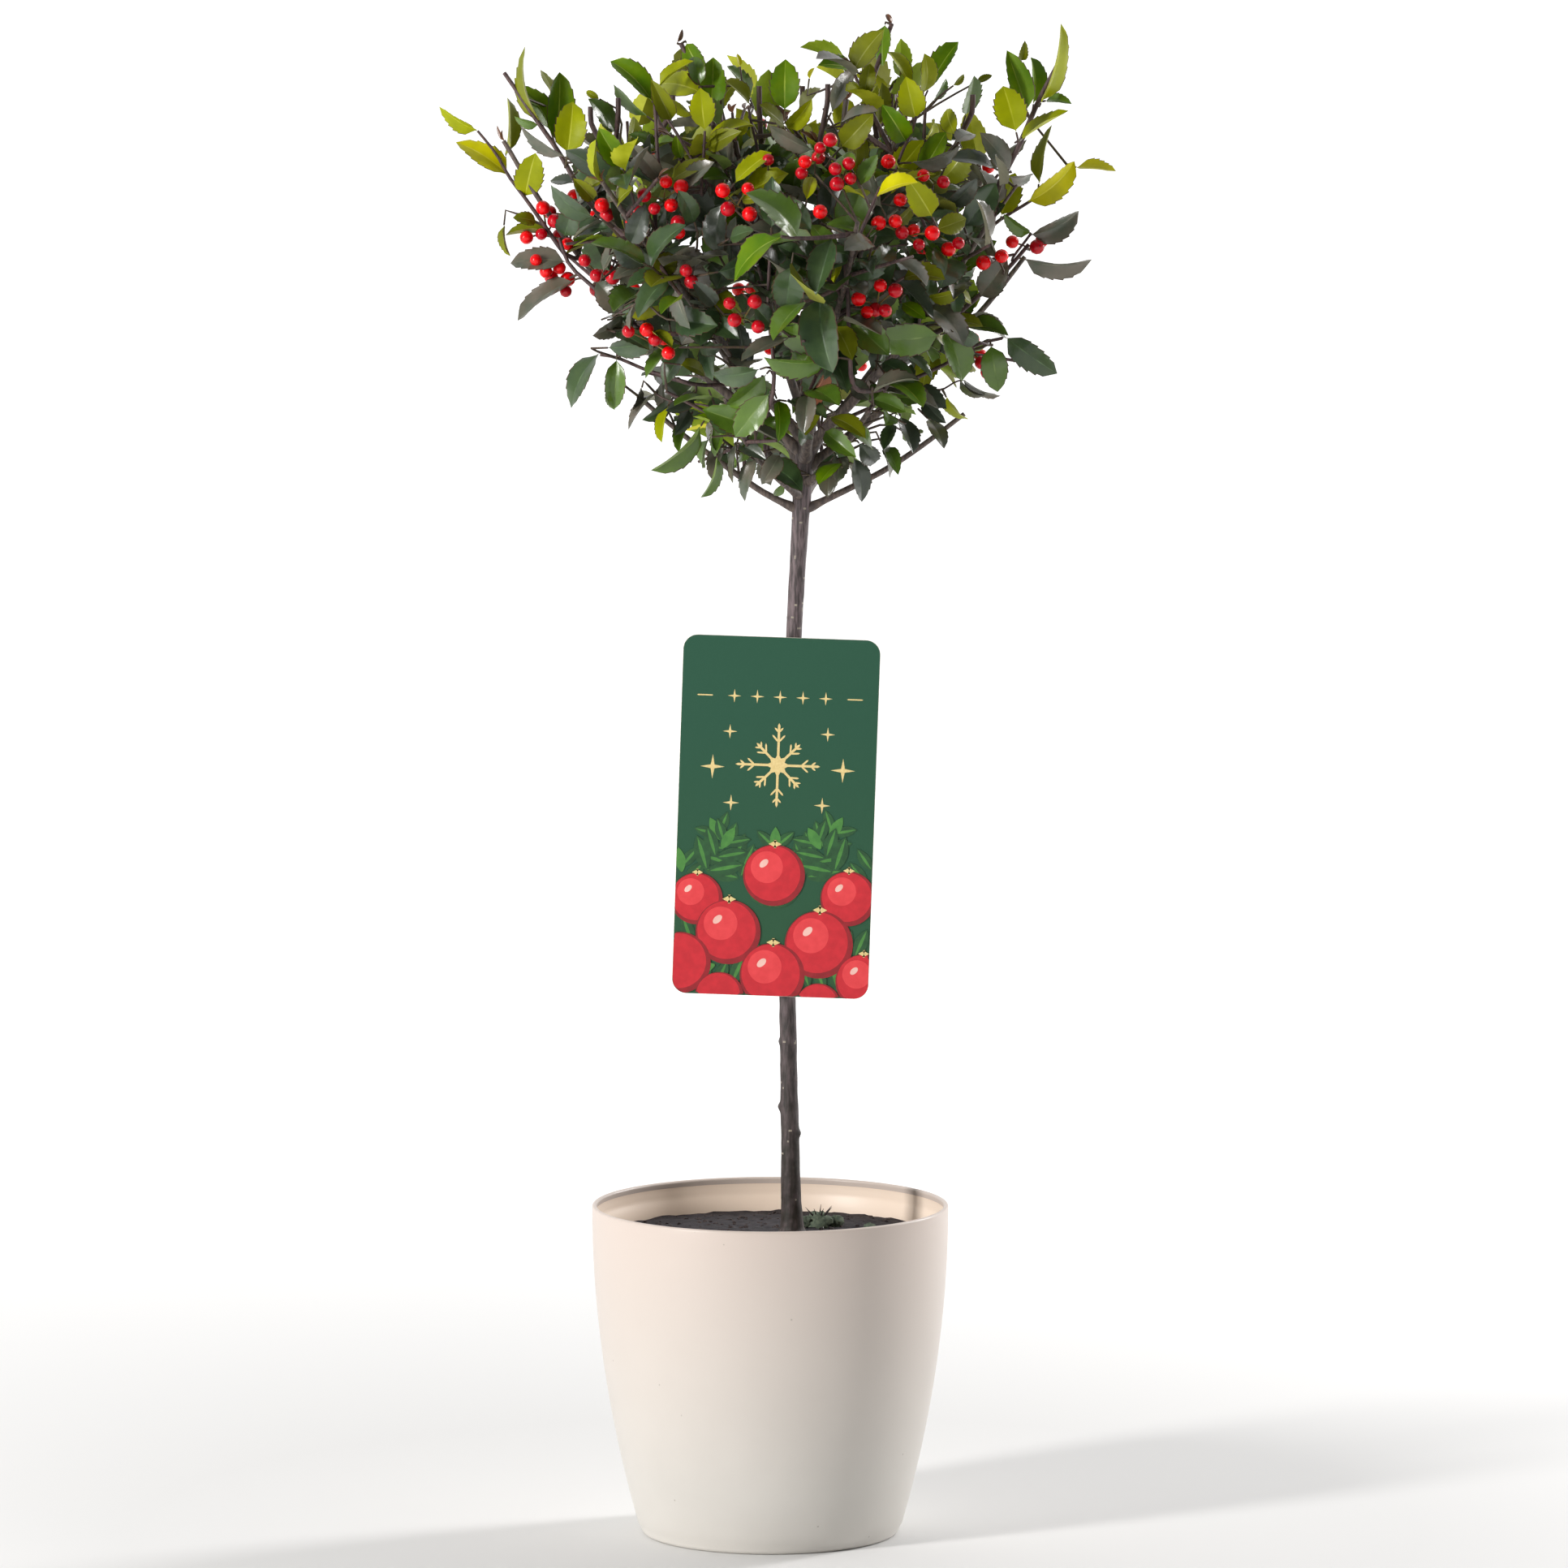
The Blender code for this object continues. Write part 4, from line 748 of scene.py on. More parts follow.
def bark_material(name, first, second, moss):
    """Young holly bark: smooth and matt, in fine streaks along the wood, green with algae low down."""
    material, tree, shader, place = start_material(name, {"Roughness": 0.62})
    stretched = add(tree, "ShaderNodeMapping", {"Scale": (1.0, 1.0, 0.16)}, {"Vector": place})
    streaks = add(
        tree,
        "ShaderNodeTexNoise",
        {"Scale": per_mm(1.6), "Detail": 5.0},
        {"Vector": stretched.outputs["Vector"]},
    )
    share = add(
        tree,
        "ShaderNodeMapRange",
        {"From Min": 0.38, "From Max": 0.64},
        {"Value": streaks.outputs["Fac"]},
    )
    mix = add(
        tree,
        "ShaderNodeMix",
        {**COLOUR_MIX, COLOUR_A: tint(first), COLOUR_B: tint(second)},
        {FACTOR: share.outputs["Result"]},
    )
    tree.links.new(mix.outputs[COLOUR_OUT], shader.inputs["Base Color"])
    bump = add(
        tree,
        "ShaderNodeBump",
        {"Strength": 0.7, "Distance": 0.00025},
        {"Height": streaks.outputs["Fac"]},
    )
    tree.links.new(bump.outputs["Normal"], shader.inputs["Normal"])
    if moss:
        height = add(tree, "ShaderNodeSeparateXYZ", {}, {"Vector": place})
        patches = add(tree, "ShaderNodeTexNoise", {"Scale": per_mm(7.0)}, {"Vector": place})
        fade = add(
            tree,
            "ShaderNodeMapRange",
            {"From Min": 0.40, "From Max": 0.22, "To Max": 1.5},
            {"Value": height.outputs["Z"]},
        )
        share = add(
            tree,
            "ShaderNodeMath",
            {"operation": "MULTIPLY"},
            {0: fade.outputs["Result"], 1: patches.outputs["Fac"]},
        )
        over(tree, shader, moss, share.outputs["Value"])
    return material


def card_material():
    """Matt-laminated green board: an even print, a little greyer towards its foot, with a fine tooth."""
    material = mottled(
        "laminated green board", "#24523e", "#275540", 1.2, {"Roughness": 0.5, "Specular IOR Level": 0.3}, 0.5, 0.00002, 0.2, 0.8
    )
    tree = material.node_tree
    shader = tree.nodes["Principled BSDF"]
    place = tree.nodes["Texture Coordinate"].outputs["Object"]
    height = add(tree, "ShaderNodeSeparateXYZ", {}, {"Vector": place})
    share = add(
        tree,
        "ShaderNodeMapRange",
        {"From Min": 0.50, "From Max": 0.36, "To Max": 0.6},
        {"Value": height.outputs["Z"]},
    )
    over(tree, shader, "#2e5736", share.outputs["Result"])
    return material


# Leaf tones: upper side, rib and underside. They are partly the leaves' own colours and partly painted light and
# shade: bright, rounded, olive and lime are lighter with painted light shining through the leaves at the crown's top
# and edge, deep and dark are darker with painted shade inside the crown, and grey is greyed by a painted sheen of the
# sky. Bronze and withered are the leaves' own colours.
Tone = namedtuple("Tone", "name upper upper_drift rib under margin")
TONES = (
    Tone("deep", "#33482c", "#40552f", "#566f47", "#4b5a40", "dark"),
    Tone("dark", "#353e34", "#3f4839", "#515c48", "#4a5244", "dark"),
    Tone("mid", "#4b681c", "#55731f", "#748c44", "#5c6c34", "dark"),
    Tone("olive", "#787e10", "#6c720e", "#939840", "#7a7c30", "dark"),
    Tone("grey", "#4e5646", "#6a6356", "#7a7866", "#5f6052", "dark"),
    Tone("bright", "#627e00", "#4c7002", "#8ea22a", "#758c10", "dark"),
    Tone("rounded", "#99a000", "#8a9200", "#b4b82c", "#969c10", "dark"),
    Tone("lime", "#d2cc00", "#bdb800", "#dcd640", "#b8b410", "pale"),
    Tone("bronze", "#5d3a2c", "#6f4a2e", "#7d5540", "#6a4a38", "dark"),
    Tone("withered", "#9a5f3d", "#83492c", "#a87250", "#8a5a40", "dark"),
)
TONE = {tone.name: index for index, tone in enumerate(TONES)}


def leaf_materials():
    """Waxy holly leaf: a clear gloss above, a duller rib, and a matt underside, for each tone, and a thin
    reddish or yellow horny margin."""
    made = []
    for tone in TONES:
        lit = tone.name in ("bright", "rounded", "lime", "olive")
        upper = {"Roughness": 0.42 if lit else 0.28, "IOR": 1.48, "Specular IOR Level": 0.2 if lit else 0.5}
        if tone.name == "withered":
            upper = {"Roughness": 0.6}
        elif not lit:
            upper.update({"Coat Weight": 0.22, "Coat Roughness": 0.18})
        under = {"Roughness": 0.55, "IOR": 1.42, "Specular IOR Level": 0.3}
        name = f"holly leaf {tone.name}"
        made.append(mottled(name, tone.upper, tone.upper_drift, 14.0, upper, 2.2, 0.00015))
        made.append(mottled(name + " rib", tone.rib, tone.upper, 9.0, {"Roughness": 0.42}, 2.2, 0.00010))
        made.append(mottled(name + " underside", tone.under, tone.rib, 12.0, under, 2.0, 0.00015))
    made.append(mottled("reddish leaf margin", "#3a231c", "#4f3420", 6.0, {"Roughness": 0.5}))
    made.append(mottled("yellow leaf margin", "#8d8410", "#6d5a14", 6.0, {"Roughness": 0.5}))
    return made


# Pot, soil, card and band


def pot_radius(height):
    """Outer radius of the pot: it narrows with the square of the depth below the rim."""
    depth = (POT_HEIGHT - height) / POT_HEIGHT
    return POT_RIM_RADIUS - POT_TAPER * depth**2


LEDGE_DEPTH = 0.013
LEDGE = 0.0007
POT_STEPS = 144


def build_pot():
    """The pot as one open shell with a round rim, a shallow ledge inside below it and a rounded foot."""
    rim = POT_WALL / 2
    rim_middle = (POT_RIM_RADIUS - rim, POT_HEIGHT - rim)
    heights = np.linspace(POT_FLOOR, POT_HEIGHT - LEDGE_DEPTH, 24)
    inner = [(pot_radius(h) - POT_WALL, h) for h in heights]
    upper = np.linspace(POT_HEIGHT - LEDGE_DEPTH + 0.0012, POT_HEIGHT - rim, 5)[:-1]
    inner += [(pot_radius(h) - POT_WALL + LEDGE, h) for h in upper]
    outer = [(pot_radius(h), h) for h in np.linspace(rim_middle[1], 2 * POT_FOOT_ROUND, 40)[1:]]
    foot_middle = (pot_radius(0) - POT_FOOT_ROUND, POT_FOOT_ROUND)
    profile = [(0.0, POT_FLOOR), (0.04, POT_FLOOR)] + inner
    profile += arc(rim_middle, rim, 180, 0, 9)
    profile += outer
    profile += arc(foot_middle, POT_FOOT_ROUND, 0, -90, 8)
    profile += [(0.04, 0.0), (0.0, 0.0)]
    skin = Skin()
    points, faces = turned(profile[::-1], POT_STEPS)
    rows = len(profile) - 2
    inside = np.repeat(np.arange(rows - 1) >= rows - 1 - len(inner), POT_STEPS)
    skin.add(points, faces, np.concatenate([inside, np.zeros(POT_STEPS), np.ones(POT_STEPS)]).astype(int))
    # Painted light: the inside wall takes a lighter, warmer copy of the cream that also glows a little.
    shine = {"Roughness": 0.42, "Emission Color": tint("#e8cdb4"), "Emission Strength": 0.14}
    glow = mottled("cream polypropylene that light shines through", "#f6e4d2", "#f2dfcc", 60.0, shine)
    return skin.piece("pot_shell", [pot_material(), glow], "pot", ["pot"], math.radians(35))


SOIL_STEPS = 128
SOIL_ROWS = 46
CRUMBS = 420
MOSS_LUMPS = (
    (0.030, 0.032, 0.1885, 0.0085), (0.021, 0.030, 0.1880, 0.0060), (0.040, 0.036, 0.1875, 0.0060),
    (0.062, 0.020, 0.1865, 0.0042),
)


def waves(x, y, seed, size, count=24):
    """Smooth random relief from -1 to 1: the mean of sine waves in random directions, about the size
    given from crest to crest."""
    chance = np.random.default_rng(seed)
    turn = chance.uniform(0, math.tau, count)
    pitch = math.tau / (size * chance.uniform(0.6, 1.8, count))
    phase = chance.uniform(0, math.tau, count)
    flat = x[..., None] * np.cos(turn) + y[..., None] * np.sin(turn)
    return np.sin(flat * pitch + phase).mean(axis=-1) * 2.2


def build_soil():
    """The pot's filling: a top that falls a little to the wall with a crumbly relief, and plain sides."""
    top_edge = SOIL_TOP - SOIL_EDGE_DROP
    top = [(r, np.interp(r, (SOIL_FLAT_RADIUS, pot_radius(top_edge)), (SOIL_TOP, top_edge)))
           for r in np.linspace(0.0015, pot_radius(top_edge) - POT_WALL - GAP, SOIL_ROWS)]
    sides = [(pot_radius(h) - POT_WALL - GAP, h) for h in np.linspace(top_edge - 0.004, POT_FLOOR + GAP, 8)]
    profile = [(0.0, SOIL_TOP)] + top + sides + [(0.0, POT_FLOOR + GAP)]
    turn = np.arange(SOIL_STEPS) * math.tau / SOIL_STEPS
    radius = np.array([row[0] for row in profile[1:-1]])[:, None]
    x, y = radius * np.cos(turn), radius * np.sin(turn)
    relief = 0.0009 * waves(x, y, 3, 0.016) + 0.0006 * waves(x, y, 4, 0.006)
    relief[SOIL_ROWS:] = 0.0
    relief -= np.clip(relief.max(), 0, None)
    relief[SOIL_ROWS:] = 0.0
    points, faces = turned(profile, SOIL_STEPS, relief)
    skin = Skin()
    skin.add(points, [net[:, ::-1] for net in faces])
    chance = np.random.default_rng(8)
    reach = 0.103 * np.sqrt(chance.uniform(0.02, 1.0, CRUMBS))
    turn = chance.uniform(0, math.tau, CRUMBS)
    size = chance.uniform(0.0006, 0.0021, CRUMBS)
    place = np.stack([reach * np.cos(turn), reach * np.sin(turn)], axis=1)
    rest = np.interp(reach, (SOIL_FLAT_RADIUS, pot_radius(top_edge)), (SOIL_TOP, top_edge)) - 0.0012
    lumps, faces = balls(np.column_stack([place, rest]), size, 6, 3, chance)
    skin.add(lumps, faces, 1)
    clump, faces = balls(np.array(MOSS_LUMPS)[:, :3], np.array(MOSS_LUMPS)[:, 3], 14, 9, chance)
    skin.add(clump, faces, 2)
    ways = np.array([heading(azimuth, 48) for azimuth in (200, 250, 290, 340, 20, 80)])
    foot = np.array(MOSS_LUMPS[0][:3])
    spikes = foot + np.array((0.0, 0.5, 1.0))[None, :, None] * 0.013 * ways[:, None]
    points, faces = tubes(spikes, np.broadcast_to((0.0008, 0.0006, 0.0001), (len(ways), 3)), 6)
    skin.add(points, faces, 1)
    moss = mottled("moss and algae on a lump of peat", "#4d5a4c", "#67725f", 2.2, {"Roughness": 0.9}, 0.7, 0.0006)
    peat = mottled("moist peat", "#18141a", "#2c252b", 5.0, {"Roughness": 0.85}, 1.1, 0.0009)
    crumb = mottled("peat crumbs", "#2a2223", "#4b3f3c", 3.0, {"Roughness": 0.9}, 0.8, 0.0005)
    return skin.piece("peat_fill", [peat, crumb, moss], "soil", ["soil"], math.radians(60))


def balls(middles, radii, sides, rows, chance=None, squash=0.75):
    """Round lumps: latitude rows between two poles, each point's reach varied by chance."""
    middles = np.asarray(middles, float)
    polar = np.linspace(0, math.pi, rows + 2)[1:-1]
    turn = np.arange(sides) * math.tau / sides
    ring = np.stack(
        [
            np.sin(polar)[:, None] * np.cos(turn),
            np.sin(polar)[:, None] * np.sin(turn),
            np.broadcast_to(squash * np.cos(polar)[:, None], (rows, sides)),
        ],
        axis=-1,
    ).reshape(-1, 3)
    net = np.concatenate([[(0, 0, squash)], ring, [(0, 0, -squash)]])
    shape = np.broadcast_to(net, (len(middles), *net.shape)).copy()
    if chance is not None:
        shape *= chance.uniform(0.72, 1.2, (len(middles), len(net), 1))
    points = middles[:, None] + shape * np.asarray(radii)[:, None, None]
    return points, [net[:, ::-1] for net in ball_faces(rows, sides)]


def trunk_at(height):
    """Middle of the trunk at a height."""
    course = np.array(TRUNK_COURSE)
    lean = [np.interp(height, course[:, 0], course[:, column]) for column in (1, 2)]
    return np.array((*lean, height))


def trunk_points():
    """The trunk's middle line and its radii, foot to top."""
    course = np.array(TRUNK_COURSE)
    return course[:, (1, 2, 0)], course[:, 3]


def card_back():
    """How far forward the card's back face lies: past the trunk, the band and two gaps."""
    trunk = trunk_at(CARD_MIDDLE[1])
    radius = np.interp(CARD_MIDDLE[1], [row[0] for row in TRUNK_COURSE], [row[3] for row in TRUNK_COURSE])
    return trunk[1] - radius - 2 * GAP - BAND_THICK - GAP


def on_card(across, up, out):
    """Points from the card's own measures: to the right, up, and out of its printed face."""
    sine, cosine = math.sin(CARD_LEAN), math.cos(CARD_LEAN)
    face = card_back() - CARD_THICK
    x = CARD_MIDDLE[0] + across * cosine + up * sine
    z = CARD_MIDDLE[1] - across * sine + up * cosine
    return np.stack([x, np.broadcast_to(face - out, x.shape), z], axis=-1)


def card_outline(inset):
    """The card's outline, a rectangle with round corners, drawn in by an inset."""
    corner = CARD_CORNER - inset
    wide, high = CARD_WIDTH / 2 - CARD_CORNER, CARD_HEIGHT / 2 - CARD_CORNER
    points = []
    for quarter, (sx, sy) in enumerate(((1, 1), (-1, 1), (-1, -1), (1, -1))):
        points += arc((sx * wide, sy * high), corner, 90 * quarter, 90 * quarter + 90, 12)
    return np.array(points)


def build_card():
    """The card as a thin board: flat faces, a rounded edge, print on the front and bare board behind."""
    layers = [
        (0.5, 0.0002, 0.0), (1.0, 0.0002, 0.0), (1.0, 0.0, CARD_THICK * 0.3),
        (1.0, 0.0, CARD_THICK * 0.7), (1.0, 0.0002, CARD_THICK), (0.5, 0.0002, CARD_THICK),
    ]
    rows = [on_card(*(card_outline(inset).T * share), -depth) for share, inset, depth in layers]
    poles = [on_card(np.zeros(1), np.zeros(1), -depth) for depth in (0.0, CARD_THICK)]
    points = np.concatenate([poles[0], *rows, poles[1]])
    count = len(rows[0])
    sides, first, last = ball_faces(len(rows), count)
    skin = Skin()
    slots = [0 if row == 0 else 1 for row in range(len(rows) - 1) for _ in range(count)]
    skin.add(points, [sides, first, last], slots + [0] * count + [1] * count)
    board = mottled("bare board", "#e6e1d5", "#dcd6c8", 2.0, {"Roughness": 0.8}, 0.6, 0.00003)
    return skin.piece("card_board", [card_material(), board], "card", ["card"], math.radians(40))


def clipped(middle, outline):
    """An outline about a middle on the card, each point drawn in along its ray where it would pass the
    card's edge. The edge is where the distance to the round rectangle is nought, found by halving."""
    wide, high = CARD_WIDTH / 2 - CARD_CORNER, CARD_HEIGHT / 2 - CARD_CORNER
    low, high_share = np.zeros(len(outline)), np.ones(len(outline))

    def outside(share):
        spot = np.abs(middle + outline * share[:, None])
        past = np.maximum(spot - (wide, high), 0)
        return np.hypot(*past.T) > CARD_CORNER - 0.0003

    fits = ~outside(high_share)
    for _ in range(24):
        half = (low + high_share) / 2
        out = outside(half)
        high_share = np.where(out, half, high_share)
        low = np.where(out, low, half)
    return outline * np.where(fits, 1.0, low)[:, None]


class Print:
    """Flat shapes of ink on the card, each a hair thicker than the one below it."""

    def __init__(self):
        self.skin = Skin()
        self.layer = 0

    def lay(self, middle, outline, slot):
        """One shape: a fan over its outline, with a second fan below it in the board."""
        middle = np.array(middle, float)
        most = np.array((CARD_WIDTH, CARD_HEIGHT)) / 2 - CARD_CORNER * 0.35
        inside = np.clip(middle, -most, most)
        outline = np.asarray(outline, float)
        if np.linalg.norm(middle - inside) > 0.8 * np.linalg.norm(outline, axis=1).min():
            return
        self.layer += 1
        edge = inside + clipped(inside, outline + middle - inside)
        middle = inside
        rise = 0.00003 + 0.0000035 * self.layer
        top = on_card(*edge.T, rise)
        base = on_card(*edge.T, -0.0001)
        poles = [on_card(*middle[:, None], out) for out in (rise, -0.0001)]
        points = np.concatenate([poles[0], top, base, poles[1]])
        self.skin.add(points, ball_faces(2, len(edge)), slot)


def disc(radius, count=40, stretch=1.0):
    """Outline of a circle, or of an oval."""
    turn = np.linspace(0, math.tau, count, endpoint=False)
    return np.stack([radius * np.cos(turn), radius * stretch * np.sin(turn)], axis=1)


def tilted(outline, angle):
    """An outline turned by an angle in degrees."""
    a = math.radians(angle)
    return outline @ np.array(((math.cos(a), math.sin(a)), (-math.sin(a), math.cos(a))))


def blade(length, width, count=24):
    """Outline of a pointed leaf about its middle: the half width falls with the square of the way from
    its middle to its tips."""
    share = np.linspace(-1, 1, count)
    half = width / 2 * (1 - share**2)
    upper = np.stack([share * length / 2, half], axis=1)
    lower = np.stack([share[::-1] * length / 2, -half[::-1]], axis=1)
    return np.concatenate([lower[:-1][::-1], upper[::-1][:-1]])


def bar(length, width):
    """Outline of a thin bar with pointed ends."""
    x, y = length / 2, width / 2
    return np.array([(x, 0), (x - width, y), (-x + width, y), (-x, 0), (-x + width, -y), (x - width, -y)])


def twinkle(radius, points=4, waist=0.22):
    """Outline of a star: its reach alternates between the radius and a waist."""
    turn = np.arange(2 * points) * math.pi / points + math.pi / 2
    reach = np.where(np.arange(2 * points) % 2 == 0, radius, radius * waist)
    return np.stack([reach * np.cos(turn), reach * np.sin(turn)], axis=1)


# Ornaments on the card: middle and radius in millimetres
BAUBLES = (
    (-47, -52, 16), (46, -49, 17), (0, -36, 19), (-27, -72, 20), (29, -78, 21), (-56, -92, 19),
    (1, -98, 20), (57, -100, 17), (-31, -112, 15), (30, -116, 14),
)
# Sprigs of leaves behind the baubles: root, heading in degrees, length and number of pairs of leaves
SPRIGS = (
    (-18, -44, 118, 40, 4), (16, -42, 60, 42, 4), (-52, -62, 100, 34, 3), (54, -60, 78, 34, 3),
    (-30, -88, 160, 36, 3), (34, -92, 20, 34, 3), (0, -64, 90, 50, 4), (-44, -40, 60, 30, 3),
    (40, -38, 122, 30, 3), (0, -80, 200, 44, 4), (0, -80, 340, 44, 4),
)


def build_print():
    """The card's picture: a gold star and rules above, and red baubles on green sprigs below."""
    print_ = Print()
    gold, green, leaf_green, shade, red, glow, shine = range(7)
    for side in (-1, 1):
        print_.lay((side * 0.046, 0.074), bar(0.010, 0.0008), gold)
        print_.lay((side * 0.040, 0.030), twinkle(0.0075), gold)
        print_.lay((side * 0.030, 0.052), twinkle(0.0045), gold)
        print_.lay((side * 0.028, 0.008), twinkle(0.0050), gold)
    for x in (-0.028, -0.014, 0.0, 0.014, 0.028):
        print_.lay((x, 0.074), twinkle(0.0042), gold)
    star = np.array((0.0, 0.032))
    for arm in range(8):
        way = np.array((math.cos(arm * math.pi / 4), math.sin(arm * math.pi / 4)))
        reach = 0.026 if arm % 2 == 0 else 0.019
        print_.lay(star + way * reach / 2, tilted(bar(reach, 0.0015), arm * 45), gold)
        for share in (0.55, 0.78):
            for lean in (-42, 42):
                angle = math.radians(arm * 45 + lean)
                size = 0.0085 * (1.25 - share)
                tip = np.array((math.cos(angle), math.sin(angle))) * size / 2
                print_.lay(star + way * reach * share + tip, tilted(bar(size, 0.0011), arm * 45 + lean), gold)
    print_.lay(star, twinkle(0.0075, 8, 0.6), gold)
    for x, y, course, length, pairs in SPRIGS:
        way = np.array((math.cos(math.radians(course)), math.sin(math.radians(course))))
        root = np.array((x, y)) / 1000
        for pair in range(pairs):
            spot = root + way * length / 1000 * (pair + 0.6) / pairs
            size = 0.020 * (1.15 - 0.5 * pair / pairs)
            for lean in (-48, 48):
                angle = course + lean
                tip = np.array((math.cos(math.radians(angle)), math.sin(math.radians(angle)))) * size / 2
                print_.lay(spot + tip, tilted(blade(size, size * 0.42), angle), green)
                print_.lay(spot + tip, tilted(blade(size * 0.9, size * 0.10), angle), leaf_green)
        print_.lay(root + way * length / 1000, tilted(blade(0.016, 0.0065), course), leaf_green)
    for x, y, radius in BAUBLES:
        middle = np.array((x, y)) / 1000
        r = radius / 1000
        print_.lay(middle, disc(r), shade)
        print_.lay(middle + (-0.05 * r, 0.06 * r), disc(r * 0.90), red)
        if abs(middle[0] - 0.3 * r) < CARD_WIDTH / 2 - r * 0.2 and middle[1] > -0.105:
            print_.lay(middle + (-0.24 * r, 0.26 * r), disc(r * 0.52), glow)
            print_.lay(middle + (-0.34 * r, 0.38 * r), tilted(disc(r * 0.17, 20, 0.6), 45), shine)
            print_.lay(middle + (0.0, 1.02 * r), bar(r * 0.42, r * 0.26), gold)
    inks = [
        mottled("gold ink", "#ecd596", "#e0c683", 1.5, {"Roughness": 0.4}, 0.5, 0.00001),
        mottled("dark green ink", "#1c4a26", "#25582c", 4.0, {"Roughness": 0.42}, 0.5, 0.00001),
        mottled("leaf green ink", "#3f7c34", "#4b8a3a", 4.0, {"Roughness": 0.42}, 0.5, 0.00001),
        mottled("deep red ink", "#9c1420", "#8a101b", 5.0, {"Roughness": 0.42}, 0.5, 0.00001),
        mottled("red ink", "#d2202e", "#c51a28", 5.0, {"Roughness": 0.42}, 0.5, 0.00001),
        mottled("bright red ink", "#ea4247", "#e23a40", 5.0, {"Roughness": 0.42}, 0.5, 0.00001),
        mottled("pale ink", "#f6c9bd", "#f2bdb0", 5.0, {"Roughness": 0.42}, 0.5, 0.00001),
    ]
    return print_.skin.piece("card_print", inks, "card", (), math.radians(30))


def build_band():
    """The band on the card's back: a D-shaped loop with a rounded edge, round the trunk."""
    trunk = trunk_at(CARD_MIDDLE[1])
    hole = -card_back() + trunk[1] - BAND_THICK - GAP
    middle = hole + BAND_THICK / 2
    loop = np.array(arc((0, 0), middle, 0, 180, 40) + [(-middle, -middle * s) for s in (0.5, 1.0)]
                    + [(middle * s, -middle) for s in (-0.5, 0.0, 0.5, 1.0)] + [(middle, -middle * 0.5)])
    loop = evened(np.concatenate([loop, loop[:1]]), 73)[:-1]
    way = unit(np.roll(loop, -1, axis=0) - np.roll(loop, 1, axis=0))
    out = np.stack([way[:, 1], -way[:, 0]], axis=1)
    half, thick, edge = BAND_HEIGHT / 2, BAND_THICK / 2, 0.0003
    section = np.array([(thick, half - edge), (thick - edge, half), (edge - thick, half), (-thick, half - edge),
                        (-thick, edge - half), (edge - thick, -half), (thick - edge, -half), (thick, edge - half)])
    flat = loop[:, None] + out[:, None] * section[None, :, :1]
    height = np.broadcast_to(section[None, :, 1:], (*flat.shape[:2], 1))
    rows = np.concatenate([flat, height], axis=2) + trunk
    index = np.arange(rows.shape[0] * 8).reshape(-1, 8)
    index = np.concatenate([index, index[:1]])
    index = np.concatenate([index, index[:, :1]], axis=1)
    faces = np.stack([index[:-1, :-1], index[:-1, 1:], index[1:, 1:], index[1:, :-1]], axis=-1).reshape(-1, 4)
    skin = Skin()
    skin.add(rows.reshape(-1, 3), [faces])
    paper = mottled("folded paper band", "#ded8ca", "#d2cbbb", 3.0, {"Roughness": 0.85}, 0.5, 0.00004)
    return skin.piece("card_loop", [paper], "band", ["card_band"], math.radians(35))


# The solids' growing rule, with the same order of random draws


def grow(start, direction, length, steps, lift, sway, chance):
    """A line that grows from a point, bends upwards by its lift and wavers by its sway."""
    points = [np.array(start)]
    for _ in range(steps):
        waver = np.array([chance.uniform(-1, 1) for _ in range(3)])
        direction = unit(direction + lift * UP + sway * waver)
        points.append(points[-1] + direction * length / steps)
    return np.array(points)


Limb = namedtuple("Limb", "name ring bough radii stem chance")


def limb_plan():
    """Each bough's name, points and radii, with the stem of the foliage that its tip carries."""
    plan = []
    for ring in RINGS:
        for index in range(ring.count):
            chance = random.Random(SEED * 1000 + len(plan))
            azimuth = ring.first_azimuth + 360 * index / ring.count + chance.uniform(-5, 5)
            offset = (index * ring.stride) % ring.count - (ring.count - 1) / 2
            start = trunk_at(ring.height + offset * ring.stagger)
            if ring.name == "leader":
                start = start + GAP * UP
            reach = 1 - ring.reach_left * math.cos(math.radians(azimuth))
            size = reach * chance.uniform(0.95, 1.05)
            way = heading(azimuth, ring.elevation + chance.uniform(-2, 2))
            bough = grow(start, way, ring.length * size, LIMB_STEPS, ring.lift, LIMB_SWAY, chance)
            way = unit(bough[-1] - bough[-2])
            root = bough[-1] + way * GAP
            stem = grow(root, way, ring.stem_length * size, STEM_STEPS, ring.stem_lift, STEM_SWAY, chance)
            radii = np.linspace(*ring.radii, LIMB_STEPS + 1)
            label = ring.name if ring.count == 1 else f"{ring.name}_{index + 1}"
            plan.append(Limb(label, ring, bough, radii, stem, chance))
    return plan


def nearest(points, starts, ends):
    """Distance of each point from each straight piece, as a table."""
    along = ends - starts
    share = np.einsum("psk,sk->ps", points[:, None] - starts[None], along)
    share = np.clip(share / np.einsum("sk,sk->s", along, along), 0, 1)
    foot = starts[None] + share[..., None] * along[None]
    return np.linalg.norm(points[:, None] - foot, axis=2)


def whole_limb(limb):
    """A bough's line with its stem's, from the trunk's bark on."""
    return np.concatenate([limb.bough[1:], limb.stem[1:]])


def shoot_tips():
    """The tips of the long shoots, round the crown's middle, each with its leaves' mood. Those of the
    front's upper part are among its stems, so only low ones are left there."""
    middle = np.array((CROWN_MIDDLES[-1], 0.0, 0.0))
    for turn, lower in SHOOT_TURNS[1:]:
        for tip, mood in zip(SHOOT_TIPS, SHOOT_MOODS):
            place = middle + spun(np.array(tip) - middle, UP, math.radians(turn)) - lower * UP
            if place[1] > -0.1:
                yield place, mood
            elif place[2] < FRONT_SHOOT_TOP:
                yield place, FRONT_SHOOT_MOOD


